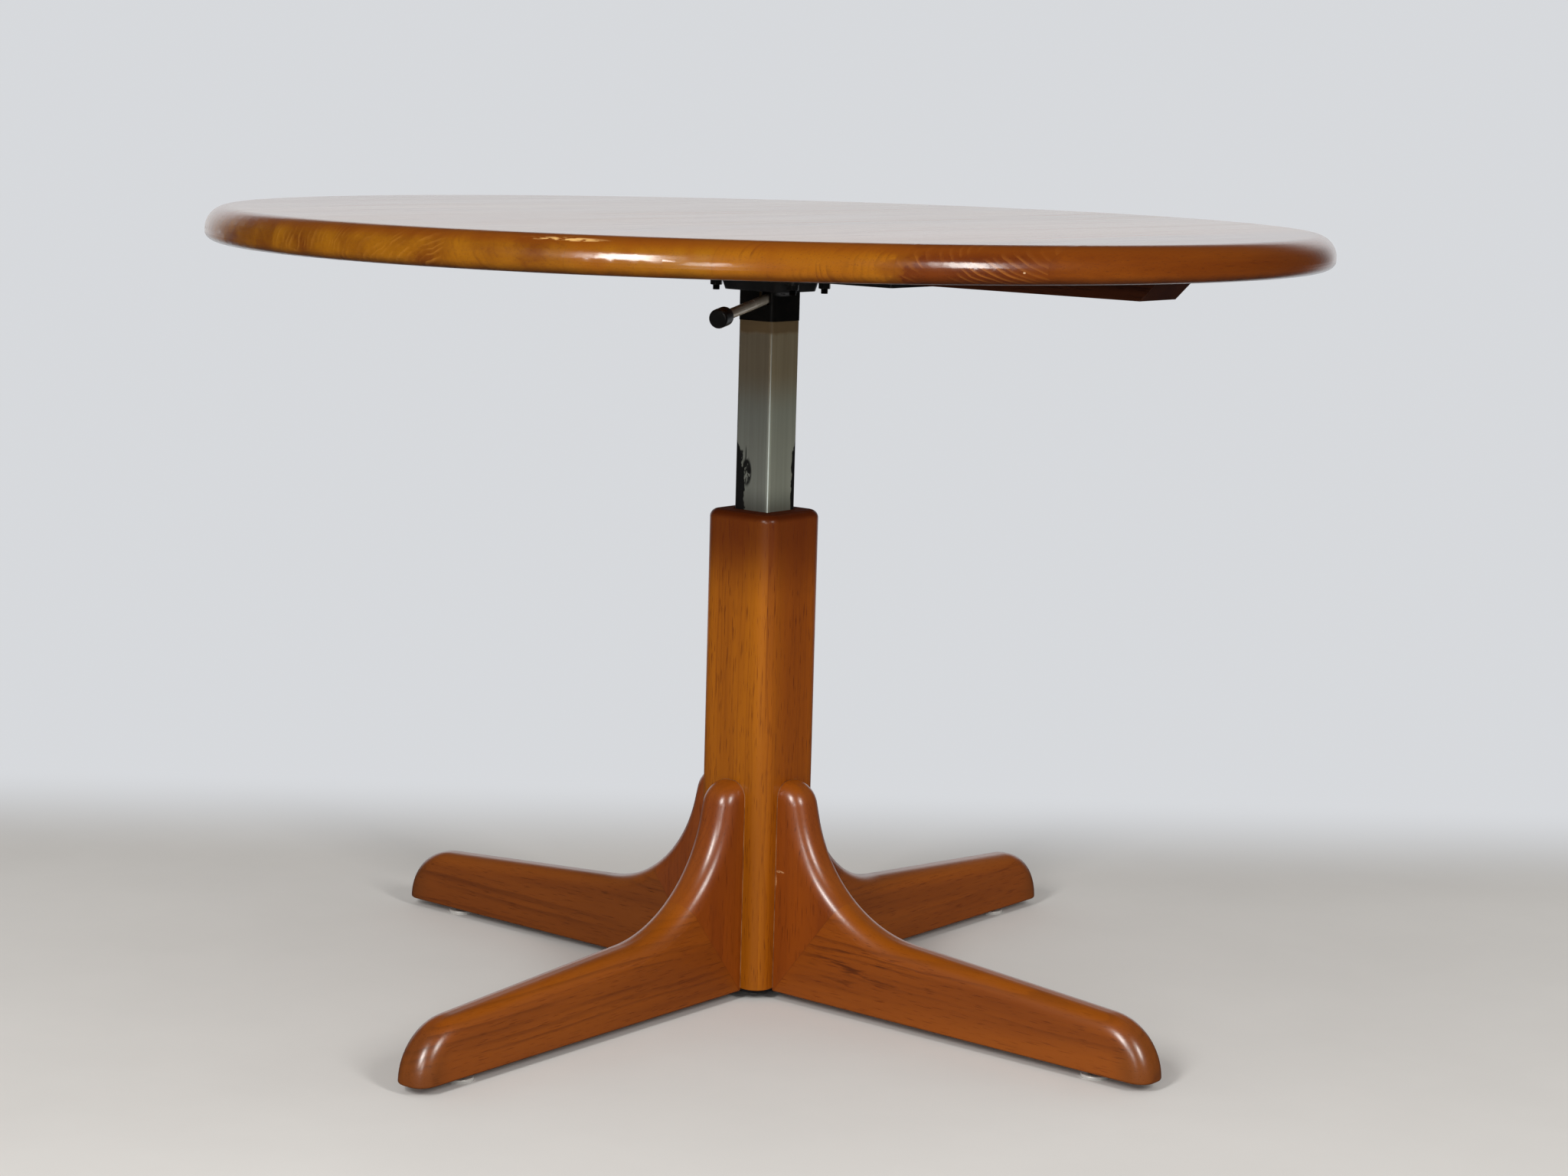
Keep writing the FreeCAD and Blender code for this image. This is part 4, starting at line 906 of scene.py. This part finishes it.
def screw_tree():
    """Tapered screws, one on each point, point up.

    Known fault: the heads are missing.  The two bars of the recess overlap in one cutter,
    for which the exact Boolean gives an empty mesh, so only the shanks come out.
    """
    sizes = ["Head Radius", "Head Height", "Shank Radius", "Shank Length", "Slot Width",
             "Slot Depth"]
    tree, given, leave = new_geometry_tree("crossed_screws", sizes)
    head = tree.add("GeometryNodeMeshCone", {
        "Vertices": 28, "Radius Top": given["Shank Radius"], "Radius Bottom": given["Head Radius"],
        "Depth": given["Head Height"]})
    slots = tree.add("GeometryNodeJoinGeometry")
    span = tree.times(given["Head Radius"], 1.15)
    deep = tree.times(given["Slot Depth"], 2.0)
    for turn in (0.0, QUARTER):
        bar = tree.add("GeometryNodeMeshCube", {
            "Size": tree.join(span, given["Slot Width"], deep)})
        turned = tree.add("GeometryNodeTransform", {"Geometry": bar.outputs[0],
                                                    "Rotation": (0.0, 0.0, turn)})
        tree.feed(slots.inputs[0], turned.outputs[0])
    cut = tree.add("GeometryNodeMeshBoolean", operation="DIFFERENCE", solver="EXACT")
    tree.feed(cut.inputs[0], head.outputs["Mesh"])
    tree.feed(cut.inputs[1], slots.outputs[0])
    shank = tree.add("GeometryNodeMeshCone", {
        "Vertices": 16, "Radius Top": SCREW_POINT_RADIUS, "Radius Bottom": given["Shank Radius"],
        "Depth": given["Shank Length"]})
    lifted = tree.add("GeometryNodeTransform", {
        "Geometry": shank.outputs["Mesh"],
        "Translation": tree.join(0.0, 0.0, given["Head Height"])})
    screw = tree.add("GeometryNodeJoinGeometry")
    tree.feed(screw.inputs[0], cut.outputs[0])
    tree.feed(screw.inputs[0], lifted.outputs[0])
    turns = tree.add("FunctionNodeRandomValue", {0: (0.0, 0.0, 0.0), 1: (0.0, 0.0, QUARTER),
                                                 "Seed": 7}, data_type="FLOAT_VECTOR")
    placed = tree.add("GeometryNodeInstanceOnPoints", {
        "Points": given["Geometry"], "Instance": screw.outputs[0],
        "Rotation": turns.outputs[0]})
    finish_geometry(tree, given, leave, placed.outputs[0])
    return tree.tree


def set_screws(node, body, finish):
    """Grown screws in place of a CAD node's; screw_tree says why their heads are missing."""
    boxes = island_boxes(node)
    faces = [((low.x + high.x) / 2, (low.y + high.y) / 2, low.z) for low, high in boxes]
    length = boxes[0][1].z - boxes[0][0].z
    carrier = carrier_mesh(node + "_places", faces)
    made = grow(carrier, SCREW_TREE, {
        "Head Radius": SCREW_HEAD_RADIUS, "Head Height": SCREW_HEAD_HEIGHT,
        "Shank Radius": SCREW_SHANK_RADIUS, "Shank Length": length - SCREW_HEAD_HEIGHT,
        "Slot Width": RECESS_WIDTH, "Slot Depth": RECESS_DEPTH, "Finish": finish},
        node + "_crossed")
    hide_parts(node)
    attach(made, body)


def thread_tree():
    """A helical ridge round each point, rising from it."""
    sizes = ["Radius", "Ridge", "Pitch", "Height"]
    tree, given, leave = new_geometry_tree("thread_ridges", sizes)
    turns = tree.math("DIVIDE", given["Height"], given["Pitch"])
    spiral = tree.add("GeometryNodeCurveSpiral", {
        "Resolution": 20, "Rotations": turns, "Start Radius": given["Radius"],
        "End Radius": given["Radius"], "Height": given["Height"]})
    profile = tree.add("GeometryNodeCurvePrimitiveCircle", {"Resolution": 5,
                                                           "Radius": given["Ridge"]})
    ridge = tree.add("GeometryNodeCurveToMesh", {"Curve": spiral.outputs[0],
                                                 "Profile Curve": profile.outputs[0],
                                                 "Fill Caps": True})
    placed = tree.add("GeometryNodeInstanceOnPoints", {
        "Points": given["Geometry"], "Instance": ridge.outputs[0]})
    finish_geometry(tree, given, leave, placed.outputs[0])
    return tree.tree


def cut_stud_threads(finish):
    """Thread ridges on the ends of the studs that stand out of their nuts."""
    ends = [((low.x + high.x) / 2, (low.y + high.y) / 2, low.z + THREAD_START)
            for low, high in island_boxes("plate_studs")]
    made = grow(carrier_mesh("stud_ends", ends), THREAD_TREE, {
        "Radius": THREAD_RADIUS, "Ridge": THREAD_RIDGE, "Pitch": THREAD_PITCH,
        "Height": THREAD_HEIGHT, "Finish": finish}, "stud_threads")
    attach(made, "top")


def bead_tree():
    """A thin bead of set glue along a path."""
    tree, given, leave = new_geometry_tree("glue_bead", ["Thickness", "Step"])
    path = tree.add("GeometryNodeMeshToCurve", {"Mesh": given["Geometry"]})
    even = tree.add("GeometryNodeResampleCurve", {"Curve": path.outputs[0],
                                                  "Length": given["Step"]}, mode="LENGTH")
    profile = tree.add("GeometryNodeCurvePrimitiveCircle", {"Resolution": 6,
                                                           "Radius": given["Thickness"]})
    bead = tree.add("GeometryNodeCurveToMesh", {"Curve": even.outputs[0],
                                                "Profile Curve": profile.outputs[0],
                                                "Fill Caps": True})
    finish_geometry(tree, given, leave, bead.outputs[0])
    return tree.tree


LEG_HALF = 0.0185
LEG_ROUND = 0.0155
LEG_TOP = 0.2042
ARCH_FOOT = 0.012  # where the glue line starts
ARCH_WAIST = 0.10
ARCH_STEPS = 9  # steps round each corner


def leg_arch(side):
    """Points of a leg's outline where it meets the sleeve, up one side and down the other."""
    outline = [(-LEG_HALF, ARCH_FOOT), (-LEG_HALF, ARCH_WAIST), (-LEG_HALF, LEG_TOP - LEG_ROUND)]
    for corner, start in ((-1, math.pi), (1, QUARTER)):
        for step in range(1, ARCH_STEPS + 1):
            angle = start - QUARTER * step / ARCH_STEPS
            outline.append((corner * (LEG_HALF - LEG_ROUND) + LEG_ROUND * math.cos(angle),
                            LEG_TOP - LEG_ROUND + LEG_ROUND * math.sin(angle)))
    outline += [(LEG_HALF, ARCH_WAIST), (LEG_HALF, ARCH_FOOT)]
    along = Vector((*LEG_DIRECTION[side], 0.0))
    across = Vector((-along.y, along.x, 0.0))
    face = along * (SLEEVE_FACE + GLUE_STANDOFF)
    return [face + across * beside + Vector((0.0, 0.0, height)) for beside, height in outline]


def lay_glue_lines(finish):
    """The glue line round each leg's joint with the sleeve."""
    points, links = [], []
    for side in SIDES:
        arch = leg_arch(side)
        first = len(points)
        points += arch
        links += [(first + step, first + step + 1) for step in range(len(arch) - 1)]
    carrier = carrier_mesh("leg_joints", points, links)
    made = grow(carrier, BEAD_TREE, {
        "Thickness": GLUE_BEAD_RADIUS, "Step": GLUE_BEAD_STEP, "Finish": finish},
        "leg_glue_lines")
    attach(made, "base")


SCREW_TREE = screw_tree()
THREAD_TREE = thread_tree()
BEAD_TREE = bead_tree()

# ---- camera, light and floor set up --------------------------------------------------

make_camera()
build_world()
build_floor()
for lamp in LAMPS:
    build_lamp(*lamp)

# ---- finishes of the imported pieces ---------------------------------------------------

for number in range(1, len(TOP_BOARDS) + 1):
    node = "top_board_%02d" % number
    dress(node, top_wood(number, *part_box(node)))

for number, side in enumerate(SIDES):
    dress("sleeve_board_" + side, sleeve_wood(side, SLEEVE_SEED + SEED_STEP * number))
    upright = leg_wood("upright_wood_" + side, side, "Z", UPRIGHT_PITH,
                       UPRIGHT_SEED + SEED_STEP * number, *UPRIGHT_WOOD, 0.0052, 0.45, 0.30)
    dress("leg_upright_" + side, upright)
    grain = "X" if side in ("right", "left") else "Y"
    foot = leg_wood("foot_wood_" + side, side, grain, FOOT_PITH,
                    FOOT_SEED + SEED_STEP * number,
                    *[[FOOT_SHADE[side] * part for part in shade] for shade in FOOT_WOOD],
                    0.0075, FOOT_FIGURE[side], 0.45)
    dress("leg_foot_" + side, foot)

dress("batten", batten_wood())
beech = beech_wood()
dress("leg_dowels", beech)
dress("mitre_splines", beech)

# for each plain finish: light and dark colours, metallic, roughness, what differs from
# plain_finish's own values, and the nodes that carry it
PLAIN_FINISHES = {
    "black_steel": ((0.016, 0.016, 0.017), (0.008, 0.008, 0.009), 0.0, 0.30, {"wear": 0.35},
                    ["steel_bar", "mount_plate", "lever_bracket", "base_plate"]),
    "lever_steel": ((0.66, 0.60, 0.50), (0.52, 0.47, 0.38), 0.5, 0.25, {}, ["lever_rod"]),
    "black_nuts": ((0.020, 0.020, 0.020), (0.009, 0.009, 0.009), 0.4, 0.34, {"wear": 0.4},
                   ["stud_washers", "stud_nuts"] + ["glide_stem_" + side for side in SIDES]),
    "screw_steel": ((0.45, 0.43, 0.38), (0.30, 0.28, 0.24), 1.0, 0.34, {},
                    ["rod_nut", "pivot_pin"]),
    "dull_plastic": ((0.010, 0.010, 0.010), (0.006, 0.006, 0.006), 0.0, 0.8, {"specular": 0.1},
                     ["guide_bush"]),
    "black_plastic": ((0.012, 0.012, 0.012), (0.007, 0.007, 0.007), 0.0, 0.34, {},
                      ["slide_shoe", "lever_cap"]),
    "glide_zinc": ((0.80, 0.79, 0.76), (0.62, 0.61, 0.58), 0.25, 0.42, {"spread": 0.2},
                   ["glide_disc_" + side for side in SIDES]),
    "glide_chrome": ((0.75, 0.74, 0.72), (0.6, 0.58, 0.55), 1.0, 0.2, {},
                     ["cylinder_socket", "gas_rod", "release_pin"]),
    "guide_brass": ((0.72, 0.52, 0.24), (0.60, 0.42, 0.20), 1.0, 0.3, {},
                    ["rod_guide", "gas_piston", "glide_inserts"]),
    "cylinder_paint": ((0.020, 0.020, 0.020), (0.012, 0.012, 0.012), 0.0, 0.28, {"coat": 0.4},
                       ["gas_cylinder"]),
    "glue_line": ((0.34, 0.16, 0.06), (0.10, 0.028, 0.006), 0.0, 0.45, {}, []),
}
plain = {}
for name, (light, dark, metallic, roughness, extra, carriers) in PLAIN_FINISHES.items():
    plain[name] = plain_finish(name, light, dark, metallic, roughness, **extra)
    for node in carriers:
        dress(node, plain[name])

stud_thread = thread_finish("stud_thread", (0.06, 0.06, 0.06), (0.03, 0.03, 0.03), THREAD_PITCH)
dress("plate_studs", stud_thread)
dress("column_tube", tube_finish())
dress("column_collar", sheath_finish())

# ---- small pieces that are grown here ------------------------------------------------

for node, body in (("bar_screws", "top"), ("batten_screws", "top"), ("base_screws", "base")):
    set_screws(node, body, plain["screw_steel"])
cut_stud_threads(stud_thread)
lay_glue_lines(plain["glue_line"])

bpy.context.scene.view_settings.view_transform = "Standard"
